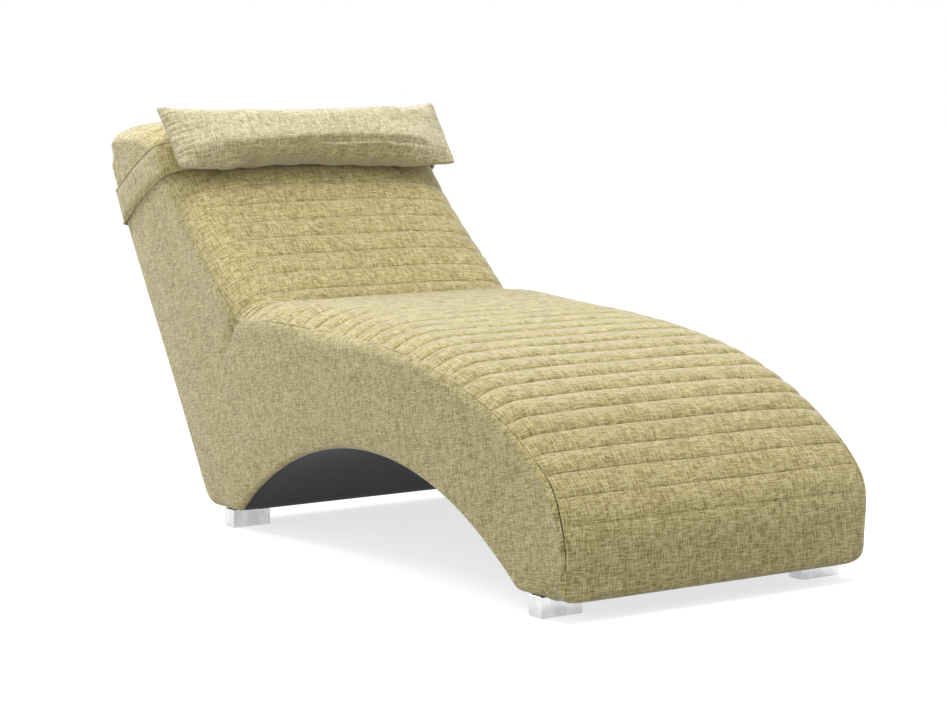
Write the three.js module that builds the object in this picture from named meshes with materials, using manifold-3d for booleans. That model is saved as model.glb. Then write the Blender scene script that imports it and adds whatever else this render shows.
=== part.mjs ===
// Upholstered chaise longue: two cut side boards, cross rails, webbing and foam under a
// cross-quilted seat and back, on four plated feet, with a neck pillow on a fabric band.
// Millimetres, +Z up. The foot end looks towards -Y and the head end towards +Y.
import * as THREE from 'three';
import { mergeVertices } from 'three/addons/utils/BufferGeometryUtils.js';
import Module from 'manifold-3d';

// Overall sizes: the length is the sum of the runs below
const width = 630;
const footHeight = 36;
const gap = 0.3;

// Side view: runs one after another from the foot end, heights above the floor, and the
// angles and handles of the curves between them
const frontBulge = 8;
const frontBulgeRun = 190;
const frontStraightTop = 110;
const frontHandle = 207;
const seatRun = 951;
const seatHeight = 418;
const seatHandle = 602;
const levelRun = 141;
const creaseDrop = 4;
const creaseHandle = 190;
const creaseAngle = 41.6;
const backRun = 304;
const backRise = 279;
const shoulderHandle = 159;
const shoulderAngle = 50;
const headRun = 176;
const headRise = 79;
const crestHandle = 95;
const noseRun = 93;
const noseHandle = 70;
const noseRadius = 34;
const rearTopStraight = 5;
const rearTopHandle = 209;
const rearTopAngle = 65.3;
const rearFootRun = 150;
const rearFootHandle = 480;
const rearFootAngle = 58.8;
const rearRound = 12;
const frontPedestal = 133;
const rearPedestal = 129;
const archRise = 174;
const archRound = 12;
const baseOverrun = 60;

// Quilted seat and back
const crown = 31;
const crownEdge = 100;
const crownStart = 280;
const crownFade = 285;
const frontLip = 18;
const lipShares = [0.15, 0.5, 1];
const channelDepth = 5;
const seatChannelPitch = 47.3;
const seatChannelStart = 124;
const seatChannels = 25;
const backChannelPitch = 50.5;
const backChannelStart = 42;
const backChannels = 13;
const cushionDepth = 22;
const columnShares = [-1, -0.98, -0.9, -0.76, 0, 0.76, 0.9, 0.98, 1];
const crestShares = [0.3, 0.7];

// Layers under the covers
const foamDepth = 30;
const webbingThickness = 2;
const webbingWidth = 60;
const seatWebbings = 9;
const backWebbings = 5;
const webbingMargin = 70;
const battenDepth = 30;
const battenWidth = 20;
const boardThickness = 18;
const sideCoverThickness = 30;
const rearCoverThickness = 6;
const rearBoardThickness = 4;
const liningThickness = 3;
const liningRise = 2;
const liningEdge = 5;
const archBoardThickness = 4;
const baseBoardThickness = 18;
const baseClothThickness = 1;
const backWebbingOverrun = 40;

// Cross rails, with their places as shares of the route that they lie along
const railThickness = 24;
const railDepth = 60;
const railClearance = 1;
const footRailShare = 0.13;
const seatFrontRailShare = 0.36;
const seatRailShare = 0.78;
const backRailShare = 0.3;
const headRailShare = 0.72;
const rearUpperRailShare = 0.22;
const rearMiddleRailShare = 0.6;

// Feet and their fixings
const footWidth = 81.6;
const footDepth = 36.4;
const footInset = 1.8;
const footChamfer = 1.2;
const footSetback = 26;
const studRadius = 4;
const studClearance = 0.2;
const studInFoot = 20;
const studInset = 16;
const nutAcross = 13;
const nutHeight = 6.5;
const nutRise = 4;
const boltSides = 20;
const cutOverrun = 2;

// Neck pillow and its band
const neckPastShoulder = 15;
const neckAngle = 49;
const pillowOverhang = 5;
const pillowHeight = 158;
const pillowFront = 50;
const pillowBack = 40;
const pillowEndDrawInShare = 0.035;
const pillowLongDrawInShare = 0.03;
const pillowPuffPowers = { end: 8, endEase: 0.6, long: 2, longEase: 0.55 };
const pillowFlatPowers = { end: 12, endEase: 0.5, long: 6, longEase: 0.5 };
const bandWidth = 70;
const bandThickness = 2;
const bandClearance = 0.8;
const bandFaceClearance = 6.5;
const bandRearCorner = 2.4;
const bandRearDrop = 160;

const seatColour = 0xb3aa72;
const sideColour = 0x9a9056;
const woodColour = 0xcaa97c;
const boardColour = 0x8a6a4a;
const foamColour = 0xece6c4;
const webbingColour = 0x4a4640;
const liningColour = 0x1d1d1f;
const chromeColour = 0xd8dadd;
const steelColour = 0xa8abad;

const point = (reach, height) => new THREE.Vector2(reach, height);
const degrees = THREE.MathUtils.degToRad;
const heading = (angle) => point(Math.cos(degrees(angle)), Math.sin(degrees(angle)));
const ahead = (from, angle, distance) => from.clone().addScaledVector(heading(angle), distance);

// A cubic stretch of the side view, as points
function curve(from, fromHandle, toHandle, to, pieces) {
  return new THREE.CubicBezierCurve(from, fromHandle, toHandle, to).getPoints(pieces);
}

function arc(centre, radius, fromAngle, toAngle, pieces) {
  return Array.from({ length: pieces + 1 }, (unused, step) =>
    ahead(centre, THREE.MathUtils.mapLinear(step, 0, pieces, fromAngle, toAngle), radius));
}

function chain(...stretches) {
  const points = [];
  for (const stretch of stretches) {
    for (const next of stretch) {
      const last = points[points.length - 1];
      if (!last || last.distanceTo(next) > gap) points.push(next);
    }
  }
  return points;
}

// A route is a line in the side view with the outward direction at each of its points,
// stretched at corners so that lines set off from it stay parallel.
function makeRoute(points) {
  const facings = points.slice(1).map((next, index) => {
    const along = next.clone().sub(points[index]).normalize();
    return point(-along.y, along.x);
  });
  const spreads = points.map((here, index) => {
    const before = facings[Math.max(index - 1, 0)];
    const after = facings[Math.min(index, facings.length - 1)];
    return before.clone().add(after).divideScalar(1 + before.dot(after));
  });
  const distances = [0];
  for (let index = 1; index < points.length; index += 1) {
    distances.push(distances[index - 1] + points[index].distanceTo(points[index - 1]));
  }
  return { points, spreads, distances, total: distances[distances.length - 1] };
}

function routePoint(route, distance, depth) {
  let index = 1;
  while (index < route.distances.length - 1 && route.distances[index] < distance) index += 1;
  const low = route.distances[index - 1];
  const share = (distance - low) / (route.distances[index] - low);
  const from = route.points[index - 1].clone().addScaledVector(route.spreads[index - 1], -depth);
  const to = route.points[index].clone().addScaledVector(route.spreads[index], -depth);
  return from.lerp(to, share);
}

// The stretch of a route between two distances, set in by a depth
function stretchOf(route, from, to, depth) {
  const inner = route.distances.filter((distance) => distance > from + gap && distance < to - gap);
  return [from, ...inner, to].map((distance) => routePoint(route, distance, depth));
}

const wholeOf = (route, depth) => stretchOf(route, 0, route.total, depth);

const frontFoot = point(frontBulge, footHeight);
const frontShoulder = point(frontBulge, frontStraightTop);
const seatLevel = point(seatRun, seatHeight);
const crease = seatLevel.clone().add(point(levelRun, -creaseDrop));
const shoulder = crease.clone().add(point(backRun, backRise));
const crest = shoulder.clone().add(point(headRun, headRise));
const length = crest.x + noseRun;
const noseCentre = point(length - noseRadius, crest.y - noseRadius);
const noseEnd = ahead(noseCentre, rearTopAngle - 90, noseRadius);
const rearTop = ahead(noseEnd, rearTopAngle + 180, rearTopStraight);
const rearStart = ahead(rearTop, rearTopAngle + 180, rearTopStraight);
const rearFoot = point(crease.x + rearFootRun, footHeight);

const seatLine = chain(
  [frontFoot, frontShoulder],
  curve(frontShoulder, ahead(frontShoulder, 90, frontHandle),
    ahead(seatLevel, 180, seatHandle), seatLevel, 26),
  [crease],
);
const backLine = chain(
  curve(crease, ahead(crease, creaseAngle, creaseHandle),
    ahead(shoulder, shoulderAngle + 180, shoulderHandle), shoulder, 10),
);
const noseLine = chain(
  curve(shoulder, ahead(shoulder, shoulderAngle, noseHandle),
    ahead(crest, 180, crestHandle), crest, 6),
  arc(noseCentre, noseRadius, 90, rearTopAngle - 90, 7),
  [rearTop],
);
const deckRoute = makeRoute(chain(seatLine, backLine, noseLine));
const creaseDistance = makeRoute(seatLine).total;
const shoulderDistance = creaseDistance + makeRoute(backLine).total;
const rearRoute = makeRoute(chain(
  [rearTop],
  curve(rearStart, ahead(rearStart, rearTopAngle + 180, rearTopHandle),
    ahead(rearFoot, rearFootAngle, rearFootHandle), rearFoot, 12),
));

// The arch is the circle through the inner ends of the two pedestals and its own top
const archFront = frontBulge + frontPedestal;
const archRear = rearFoot.x - rearPedestal;
const archHalf = (archRear - archFront) / 2;
const archRadius = (archHalf ** 2 + archRise ** 2) / (2 * archRise);
const archCentre = point(archFront + archHalf, footHeight + archRise - archRadius);
const archTurn = (height) => Math.acos((height - archCentre.y) / archRadius);

// The underside of the arch, walked from the head end to the foot end
function archPath() {
  const half = archTurn(footHeight - baseOverrun);
  const steps = 18;
  return Array.from({ length: steps + 1 }, (unused, step) => {
    const turn = half - (2 * half * step) / steps;
    return archCentre.clone().add(point(Math.sin(turn), Math.cos(turn)).multiplyScalar(archRadius));
  });
}
const archRoute = makeRoute(archPath());

// Where two lines cross, as the share of each line
function crossing(a, b, c, d) {
  const first = b.clone().sub(a);
  const second = d.clone().sub(c);
  const turn = first.cross(second);
  if (turn === 0) return null;
  const between = c.clone().sub(a);
  return { first: between.cross(second) / turn, second: between.cross(first) / turn };
}

// Cuts or lengthens two paths to the place where they meet
function meeting(first, second) {
  for (let i = first.length - 2; i >= 0; i -= 1) {
    for (let j = 0; j < second.length - 1; j += 1) {
      const hit = crossing(first[i], first[i + 1], second[j], second[j + 1]);
      const onFirst = hit && hit.first >= 0 && (hit.first <= 1 || i === first.length - 2);
      const onSecond = hit && hit.second <= 1 && (hit.second >= 0 || j === 0);
      if (onFirst && onSecond) {
        return { end: i, start: j + 1, corner: first[i].clone().lerp(first[i + 1], hit.first) };
      }
    }
  }
  throw new Error('two paths of an outline never meet');
}

// Joins paths end to end into one closed outline, with each corner rounded by its own size
function joinPaths(paths, rounds) {
  const joints = paths.map((path, index) => meeting(path, paths[(index + 1) % paths.length]));
  const corners = [];
  paths.forEach((path, index) => {
    const start = joints[(index + paths.length - 1) % paths.length].start;
    const end = joints[index].end;
    path.slice(start, end + 1).forEach((place) => corners.push({ place, round: 0 }));
    corners.push({ place: joints[index].corner, round: rounds[index] });
  });
  return roundCorners(corners);
}

function roundCorners(corners) {
  const shape = [];
  corners.forEach(({ place, round }, index) => {
    const before = corners[(index + corners.length - 1) % corners.length].place;
    const after = corners[(index + 1) % corners.length].place;
    const reach = Math.min(round, place.distanceTo(before) / 2, place.distanceTo(after) / 2);
    if (round === 0) {
      shape.push(place);
      return;
    }
    const from = place.clone().lerp(before, reach / place.distanceTo(before));
    const to = place.clone().lerp(after, reach / place.distanceTo(after));
    shape.push(...new THREE.QuadraticBezierCurve(from, place, to).getPoints(4));
  });
  return shape;
}

// The whole side outline, with its deck, rear, base and arch edges each set in by a depth
function sideOutline(deck, rear, base, arch) {
  const level = footHeight + base;
  const rearEdge = [
    routePoint(rearRoute, gap, deck + baseOverrun),
    routePoint(rearRoute, gap, -baseOverrun),
  ];
  const paths = [
    wholeOf(deckRoute, deck),
    rearEdge,
    wholeOf(rearRoute, rear),
    [point(length, level), point(archCentre.x, level)],
    wholeOf(archRoute, arch),
    [point(archCentre.x, level), point(-baseOverrun, level)],
  ];
  return joinPaths(paths, [0, 0, rearRound, archRound, archRound, 0]);
}

// A shape in the side view, carried across the object from one side to the other
function across(shape, from, to) {
  const geometry = new THREE.ExtrudeGeometry(new THREE.Shape(shape), {
    depth: to - from, bevelEnabled: false, steps: 1,
  });
  const turned = new THREE.Matrix4().set(
    0, 0, 1, from,
    1, 0, 0, -length / 2,
    0, 1, 0, 0,
    0, 0, 0, 1,
  );
  return geometry.applyMatrix4(turned);
}

function band(route, from, to, top, depth, halfSpan) {
  const upper = stretchOf(route, from, to, top);
  const lower = stretchOf(route, from, to, top + depth).reverse();
  return across([...upper, ...lower], -halfSpan, halfSpan);
}

const chaise = new THREE.Group();

function addPiece(parent, name, geometry, material) {
  const mesh = new THREE.Mesh(geometry, material);
  mesh.name = name;
  parent.add(mesh);
  return mesh;
}

const finish = (color, roughness, metalness) =>
  new THREE.MeshStandardMaterial({ color, roughness, metalness });
const sideFabric = () => finish(sideColour, 0.95, 0);
const seatFabric = () => finish(seatColour, 0.95, 0);
const wood = () => finish(woodColour, 0.8, 0);
const hardboard = () => finish(boardColour, 0.85, 0);

const halfWidth = width / 2;
const boardOuter = halfWidth - sideCoverThickness - gap;
const boardInner = boardOuter - boardThickness;
const insideHalf = boardInner - gap;
const skinHalf = boardOuter - gap;
const liningHalf = halfWidth - liningEdge;
const footX = halfWidth - footInset - footWidth / 2;
const studX = insideHalf - studInset;
const deckDepth = cushionDepth + gap;
const webbingDepth = deckDepth + foamDepth + gap;
const battenTop = webbingDepth + webbingThickness + gap;
const rearBoardDepth = rearCoverThickness + gap;
const boardRearDepth = rearBoardDepth + rearBoardThickness + gap;
const archBoardDepth = liningThickness + gap;
const boardArchDepth = archBoardDepth + archBoardThickness + gap;

const sides = [['left', -1], ['right', 1]];
const ordered = (side, from, to) => (side < 0 ? [-to, -from] : [from, to]);

// Side boards and the padded fabric over them
function addSides() {
  const boardShape = sideOutline(deckDepth, boardRearDepth, gap, boardArchDepth);
  const coverShape = sideOutline(deckDepth, rearBoardDepth, 0, archBoardDepth);
  for (const [hand, side] of sides) {
    const board = across(boardShape, ...ordered(side, boardInner, boardOuter));
    const cover = across(coverShape, ...ordered(side, boardOuter + gap, halfWidth));
    addPiece(chaise, `side_board_${hand}`, board, wood());
    addPiece(chaise, `side_cover_${hand}`, cover, sideFabric());
  }
}

// A straight bar across the frame, square to a route and set in by a depth
function railBar(route, distance, depth, thickness, tall) {
  const half = thickness / 2;
  const low = routePoint(route, distance - half, depth);
  const high = routePoint(route, distance + half, depth);
  const along = high.clone().sub(low).normalize();
  const inward = point(along.y, -along.x);
  const middle = low.lerp(high, 0.5);
  const corner = (forward, down) => middle.clone()
    .addScaledVector(along, forward * half).addScaledVector(inward, down * tall);
  return across([corner(-1, 0), corner(1, 0), corner(1, 1), corner(-1, 1)],
    -insideHalf, insideHalf);
}

// Rails under the battens, and behind the rear and arch boards
function addRails() {
  const deckRail = battenTop + battenDepth + railClearance;
  const rearRailDepth = boardRearDepth + railClearance;
  const archRailDepth = boardArchDepth + railClearance;
  const backTotal = deckRoute.total - creaseDistance;
  const rails = [
    ['foot_end_rail', deckRoute, creaseDistance * footRailShare, deckRail],
    ['seat_front_rail', deckRoute, creaseDistance * seatFrontRailShare, deckRail],
    ['seat_rail', deckRoute, creaseDistance * seatRailShare, deckRail],
    ['back_rail', deckRoute, creaseDistance + backTotal * backRailShare, deckRail],
    ['head_rail', deckRoute, creaseDistance + backTotal * headRailShare, deckRail],
    ['rear_rail_upper', rearRoute, rearRoute.total * rearUpperRailShare, rearRailDepth],
    ['rear_rail_middle', rearRoute, rearRoute.total * rearMiddleRailShare, rearRailDepth],
    ['arch_rail', archRoute, archRoute.total / 2, archRailDepth],
  ];
  for (const [name, route, distance, depth] of rails) {
    addPiece(chaise, name, railBar(route, distance, depth, railThickness, railDepth), wood());
  }
}

// The elastic bands across the frame, the battens that they are stapled to and the foam on them
function addDeck() {
  const seatEnd = creaseDistance - webbingMargin;
  const backStart = creaseDistance + webbingMargin;
  const backEnd = shoulderDistance + backWebbingOverrun;
  const decks = [
    ['seat', webbingMargin, seatEnd, seatWebbings],
    ['back', backStart, backEnd, backWebbings],
  ];
  for (const [name, from, to, count] of decks) {
    const batten = [
      ...stretchOf(deckRoute, from, to, battenTop),
      ...stretchOf(deckRoute, from, to, battenTop + battenDepth).reverse(),
    ];
    for (const [hand, side] of sides) {
      const edges = ordered(side, insideHalf - battenWidth, insideHalf);
      addPiece(chaise, `${name}_batten_${hand}`, across(batten, ...edges), wood());
    }
    const pitch = (to - from - webbingWidth) / (count - 1);
    for (let index = 0; index < count; index += 1) {
      const start = from + index * pitch;
      const strip = band(deckRoute, start, start + webbingWidth, webbingDepth,
        webbingThickness, insideHalf);
      addPiece(chaise, `${name}_webbing_${index + 1}`, strip, finish(webbingColour, 0.9, 0));
    }
    const foam = band(deckRoute, from, to, deckDepth, foamDepth, insideHalf);
    addPiece(chaise, `${name}_foam`, foam, finish(foamColour, 1, 0));
  }
}

// Skins of the rear face and of the arch, each over its own thin board
function addSkins() {
  const rearEnd = rearRoute.total - rearRound;
  addPiece(chaise, 'rear_cover',
    band(rearRoute, gap, rearEnd, 0, rearCoverThickness, halfWidth), sideFabric());
  addPiece(chaise, 'rear_board',
    band(rearRoute, gap, rearEnd, rearBoardDepth, rearBoardThickness, skinHalf), hardboard());
  const sweep = archTurn(footHeight - baseOverrun);
  const low = archTurn(footHeight + liningRise);
  const from = archRoute.total * (sweep - low) / (2 * sweep);
  const to = archRoute.total - from;
  addPiece(chaise, 'arch_lining',
    band(archRoute, from, to, 0, liningThickness, liningHalf), finish(liningColour, 0.6, 0));
  addPiece(chaise, 'arch_board',
    band(archRoute, from, to, archBoardDepth, archBoardThickness, skinHalf), hardboard());
}

// Triangles that fill a section between its upper points and its lower points walked back,
// always stepping along the side that lags
function fillSection(section, upperCount) {
  const faces = [];
  const at = (index) => section[index];
  const last = section.length - 1;
  let upper = 0;
  let lower = last;
  while (upper < upperCount - 1 || lower > upperCount) {
    const nextUpper = at(upper + 1).distanceTo(at(lower));
    const nextLower = at(lower - 1).distanceTo(at(upper));
    const stepUpper = lower === upperCount || (upper < upperCount - 1 && nextUpper < nextLower);
    if (stepUpper) {
      faces.push([upper, upper + 1, lower]);
      upper += 1;
    } else {
      faces.push([upper, lower - 1, lower]);
      lower -= 1;
    }
  }
  return faces;
}

// A closed skin over sections of equally many points: joined in a ring, or filled at both
// ends where the count of a section's upper points is given
function skin(sections, upperCount) {
  const count = sections[0].length;
  const positions = sections.flat().flatMap((place) => place.toArray());
  const faces = [];
  const last = upperCount ? sections.length - 1 : sections.length;
  for (let row = 0; row < last; row += 1) {
    const here = row * count;
    const next = ((row + 1) % sections.length) * count;
    for (let index = 0; index < count; index += 1) {
      const beside = (index + 1) % count;
      faces.push(here + index, next + index, next + beside);
      faces.push(here + index, next + beside, here + beside);
    }
  }
  if (upperCount) {
    const end = (sections.length - 1) * count;
    for (const [a, b, c] of fillSection(sections[0], upperCount)) {
      faces.push(a, b, c, end + a, end + c, end + b);
    }
  }
  const geometry = new THREE.BufferGeometry();
  geometry.setAttribute('position', new THREE.Float32BufferAttribute(positions, 3));
  geometry.setIndex(faces);
  geometry.computeVertexNormals();
  return geometry;
}

// How high the quilted surface stands over the side seam, along the deck
function crownAt(distance) {
  if (distance <= crownStart) return 0;
  const risen = crown * Math.tanh((distance - crownStart) / crownFade);
  if (distance <= shoulderDistance) return risen;
  return THREE.MathUtils.mapLinear(distance, shoulderDistance, deckRoute.total, risen, 0);
}

// The share of the crown that is left at a place across the width
function edgeShare(x) {
  const out = Math.max(0, Math.abs(x) - (halfWidth - crownEdge)) / crownEdge;
  return Math.sqrt(Math.max(0, 1 - out * out));
}

function quiltedHeight(distance, x, groove) {
  const middle = 1 - (x / halfWidth) ** 2;
  const bulge = frontBulge * middle * Math.sin(Math.PI * Math.min(1, distance / frontBulgeRun));
  const inLip = Math.max(0, frontLip - distance) / frontLip;
  const lip = frontLip * (1 - Math.sqrt(1 - inLip * inLip));
  return crownAt(distance) * edgeShare(x) + bulge - lip - groove * Math.sqrt(middle);
}

// Distances along the deck of the quilted surface's rows, each with its depth of groove
function quiltRows(from, to, plain, first, pitch, count) {
  const rows = plain.map((distance) => ({ distance, groove: 0 }));
  for (let index = 0; index < count; index += 1) {
    const valley = first + index * pitch;
    rows.push({ distance: valley, groove: channelDepth });
    for (const share of crestShares) rows.push({ distance: valley + share * pitch, groove: 0 });
  }
  const inside = rows.filter((row) => row.distance > from + gap && row.distance < to - gap)
    .sort((a, b) => a.distance - b.distance);
  return [{ distance: from, groove: 0 }, ...inside, { distance: to, groove: 0 }];
}

// The quilted cover with its padding, from one place along the deck to another
function quilted(from, to, rows) {
  const under = stretchOf(deckRoute, from, to, cushionDepth).reverse();
  const sections = columnShares.map((share) => {
    const x = share * halfWidth;
    const top = rows.map(({ distance, groove }) =>
      routePoint(deckRoute, distance, -quiltedHeight(distance, x, groove)));
    return [...top, ...under].map((place) =>
      new THREE.Vector3(x, place.x - length / 2, place.y));
  });
  return skin(sections, rows.length);
}

function addCushions() {
  const lipRows = lipShares.map((share) => share * frontLip);
  const frontRows = [...lipRows, (frontLip + seatChannelStart) / 2];
  const seatTo = creaseDistance - gap;
  const seatRows = quiltRows(0, seatTo, frontRows, seatChannelStart, seatChannelPitch, seatChannels);
  addPiece(chaise, 'seat_cover', quilted(0, seatTo, seatRows), seatFabric());
  const backFrom = creaseDistance + gap;
  const noseStart = deckRoute.total - rearTopStraight - degrees(180 - rearTopAngle) * noseRadius;
  const noseRows = deckRoute.distances.filter((distance) => distance > noseStart - gap);
  const backRows = quiltRows(backFrom, deckRoute.total, noseRows,
    creaseDistance + backChannelStart, backChannelPitch, backChannels);
  addPiece(chaise, 'back_cover', quilted(backFrom, deckRoute.total, backRows), seatFabric());
}

const wasm = await Module();
wasm.setup();

function solidOf(geometry) {
  const bare = geometry.clone();
  bare.deleteAttribute('normal');
  bare.deleteAttribute('uv');
  const merged = mergeVertices(bare);
  return new wasm.Manifold(new wasm.Mesh({
    numProp: 3,
    vertProperties: merged.attributes.position.array,
    triVerts: Uint32Array.from(merged.index.array),
  }));
}

function cutAway(geometry, cutters) {
  let solid = solidOf(geometry);
  for (const cutter of cutters) solid = solid.subtract(solidOf(cutter));
  const mesh = solid.getMesh();
  const cut = new THREE.BufferGeometry();
  cut.setAttribute('position', new THREE.Float32BufferAttribute(mesh.vertProperties, 3));
  cut.setIndex(Array.from(mesh.triVerts));
  cut.computeVertexNormals();
  return cut;
}

// An upright round bar between two heights
function upright(x, y, radius, low, high) {
  const geometry = new THREE.CylinderGeometry(radius, radius, high - low, boltSides);
  return geometry.rotateX(Math.PI / 2).translate(x, y, (low + high) / 2);
}

// A flat board over a span of reaches, drilled for the studs of the feet that it stands on
function drilledBoard([from, to], low, thickness, y) {
  const slab = new THREE.BoxGeometry(2 * insideHalf, to - from, thickness)
    .translate(0, (from + to) / 2 - length / 2, low + thickness / 2);
  const holes = sides.map(([, side]) => upright(side * studX, y, studRadius + studClearance,
    low - cutOverrun, low + thickness + cutOverrun));
  return cutAway(slab, holes);
}

// A block foot with the bore for its stud
function footBlock(side, y) {
  const half = { x: footWidth / 2 - footChamfer, y: footDepth / 2 - footChamfer };
  const plan = new THREE.Shape([
    point(-half.x, -half.y), point(half.x, -half.y), point(half.x, half.y), point(-half.x, half.y),
  ]);
  const top = footHeight - gap;
  const block = new THREE.ExtrudeGeometry(plan, {
    depth: top - 2 * footChamfer,
    bevelThickness: footChamfer,
    bevelSize: footChamfer,
    bevelSegments: 1,
  }).translate(side * footX, y, footChamfer);
  const bore = upright(side * studX, y, studRadius + studClearance,
    top - studInFoot - gap, top + cutOverrun);
  return cutAway(block, [bore]);
}

function hexNut(x, y, low) {
  const radius = nutAcross / Math.sqrt(3);
  const outline = Array.from({ length: 6 }, (unused, index) =>
    point(Math.cos(index * Math.PI / 3), Math.sin(index * Math.PI / 3)).multiplyScalar(radius));
  const plan = new THREE.Shape(outline);
  plan.holes.push(new THREE.Path().absarc(0, 0, studRadius + studClearance, 0, 2 * Math.PI, true));
  return new THREE.ExtrudeGeometry(plan, {
    depth: nutHeight, bevelEnabled: false, curveSegments: boltSides,
  }).translate(x, y, low);
}

// The pedestals' base boards, the cloth under them, and the feet bolted through both
function addFeet() {
  const chord = (height, depth) =>
    Math.sqrt((archRadius + depth) ** 2 - (height - archCentre.y) ** 2);
  const boardHalf = chord(footHeight, boardArchDepth + gap);
  const clothHalf = chord(footHeight, liningThickness);
  const middle = archCentre.x;
  const inFront = frontBulge + deckDepth + gap;
  const footInward = footSetback + footDepth / 2;
  const ends = [
    ['front', archFront - footInward, [inFront, middle - clothHalf], [inFront, middle - boardHalf]],
    ['rear', archRear + footInward, [middle + clothHalf, rearFoot.x - rearRound],
      [middle + boardHalf, rearFoot.x - boardRearDepth * 2]],
  ];
  const boardLow = footHeight + baseClothThickness + gap;
  for (const [end, footReach, clothSpan, boardSpan] of ends) {
    const y = footReach - length / 2;
    addPiece(chaise, `${end}_base_cloth`,
      drilledBoard(clothSpan, footHeight, baseClothThickness, y), finish(liningColour, 0.9, 0));
    addPiece(chaise, `${end}_base_board`,
      drilledBoard(boardSpan, boardLow, baseBoardThickness, y), wood());
    const nutLow = boardLow + baseBoardThickness + gap;
    const studLow = footHeight - gap - studInFoot;
    for (const [hand, side] of sides) {
      const x = side * studX;
      addPiece(chaise, `${end}_foot_${hand}`, footBlock(side, y), finish(chromeColour, 0.12, 1));
      addPiece(chaise, `${end}_stud_${hand}`,
        upright(x, y, studRadius, studLow, nutLow + nutHeight + nutRise),
        finish(steelColour, 0.4, 1));
      addPiece(chaise, `${end}_nut_${hand}`, hexNut(x, y, nutLow), finish(steelColour, 0.4, 1));
    }
  }
}

// The place on the quilted back where the neck pillow lies, and the directions there
const neckDistance = shoulderDistance + neckPastShoulder;
const neckFace = routePoint(deckRoute, neckDistance, -crownAt(neckDistance));
const neckUp = heading(neckAngle);
const neckOut = point(-neckUp.y, neckUp.x);

const place3 = (x, place) => new THREE.Vector3(x, place.x - length / 2, place.y);

const fading = (share, power, ease) => (1 - Math.abs(share) ** power) ** ease;

// The pillow: two puffed sides that meet in a seam, drawn in between its pinched corners
function pillowGeometry() {
  const columns = 24;
  const rows = 10;
  const middle = neckFace.clone()
    .addScaledVector(neckOut, bandFaceClearance + bandThickness + gap + pillowBack);
  const surface = (column, row, front) => {
    const u = Math.sin((column / columns - 0.5) * Math.PI);
    const v = Math.sin((row / rows - 0.5) * Math.PI);
    const x = u * (halfWidth + pillowOverhang) * (1 - pillowEndDrawInShare * (1 - v * v));
    const up = v * (pillowHeight / 2) * (1 - pillowLongDrawInShare * (1 - u ** 4));
    const powers = front ? pillowPuffPowers : pillowFlatPowers;
    const puff = fading(u, powers.end, powers.endEase) * fading(v, powers.long, powers.longEase);
    const out = puff * (front ? pillowFront : -pillowBack);
    return place3(x, middle.clone().addScaledVector(neckUp, up).addScaledVector(neckOut, out));
  };
  const positions = [];
  const index = new Map();
  const vertex = (column, row, front) => {
    const rim = column === 0 || row === 0 || column === columns || row === rows;
    const key = `${column} ${row} ${rim || front}`;
    if (!index.has(key)) {
      index.set(key, positions.length / 3);
      positions.push(...surface(column, row, rim ? false : front).toArray());
    }
    return index.get(key);
  };
  const faces = [];
  for (let column = 0; column < columns; column += 1) {
    for (let row = 0; row < rows; row += 1) {
      for (const front of [true, false]) {
        const a = vertex(column, row, front);
        const b = vertex(column + 1, row, front);
        const c = vertex(column + 1, row + 1, front);
        const d = vertex(column, row + 1, front);
        if (front) faces.push(a, b, c, a, c, d);
        else faces.push(a, c, b, a, d, c);
      }
    }
  }
  const geometry = new THREE.BufferGeometry();
  geometry.setAttribute('position', new THREE.Float32BufferAttribute(positions, 3));
  geometry.setIndex(faces);
  geometry.computeVertexNormals();
  return geometry;
}

// The fabric band: once round the backrest, flat on the face, the sides and the rear
function bandGeometry() {
  const bandRearHeight = crest.y - bandRearDrop;
  const rear = rearRoute.points.findIndex((place) => place.y < bandRearHeight);
  const [above, below] = [rearRoute.points[rear - 1], rearRoute.points[rear]];
  const rearUp = above.clone().sub(below).normalize();
  const rearMiddle = below.clone()
    .addScaledVector(rearUp, (bandRearHeight - below.y) / rearUp.y)
    .add(point(rearUp.y, -rearUp.x).multiplyScalar(bandClearance));
  const frontMiddle = neckFace.clone().addScaledVector(neckOut, bandFaceClearance);
  const run = frontMiddle.distanceTo(rearMiddle);
  const side = halfWidth + bandClearance;
  const stations = [];
  const corner = (wide, deep, centre, from, to, steps) => {
    for (let step = 0; step <= steps; step += 1) {
      const turn = THREE.MathUtils.mapLinear(step, 0, steps, from, to);
      stations.push({
        x: side - wide + wide * Math.cos(turn),
        share: (centre + deep * Math.sin(turn)) / run,
        facing: point(Math.cos(turn) / wide, Math.sin(turn) / deep).normalize(),
      });
    }
  };
  const quarter = Math.PI / 2;
  const crownDeep = crownAt(neckDistance);
  corner(crownEdge, crownDeep, crownDeep, -quarter, 0, 8);
  corner(bandRearCorner, bandRearCorner, run - bandRearCorner, 0, quarter, 3);
  const mirrored = stations.slice().reverse()
    .map(({ x, share, facing }) => ({ x: -x, share, facing: point(-facing.x, facing.y) }));
  const along = rearMiddle.clone().sub(frontMiddle).normalize();
  const sections = [...stations, ...mirrored].map(({ x, share, facing }) => {
    const middle = frontMiddle.clone().lerp(rearMiddle, share);
    const up = neckUp.clone().lerp(rearUp, share).normalize().multiplyScalar(bandWidth / 2);
    const out = along.clone().multiplyScalar(facing.y * bandThickness);
    const outX = x + facing.x * bandThickness;
    return [
      place3(outX, middle.clone().sub(up).add(out)),
      place3(outX, middle.clone().add(up).add(out)),
      place3(x, middle.clone().add(up)),
      place3(x, middle.clone().sub(up)),
    ];
  });
  return skin(sections, 0);
}

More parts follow.
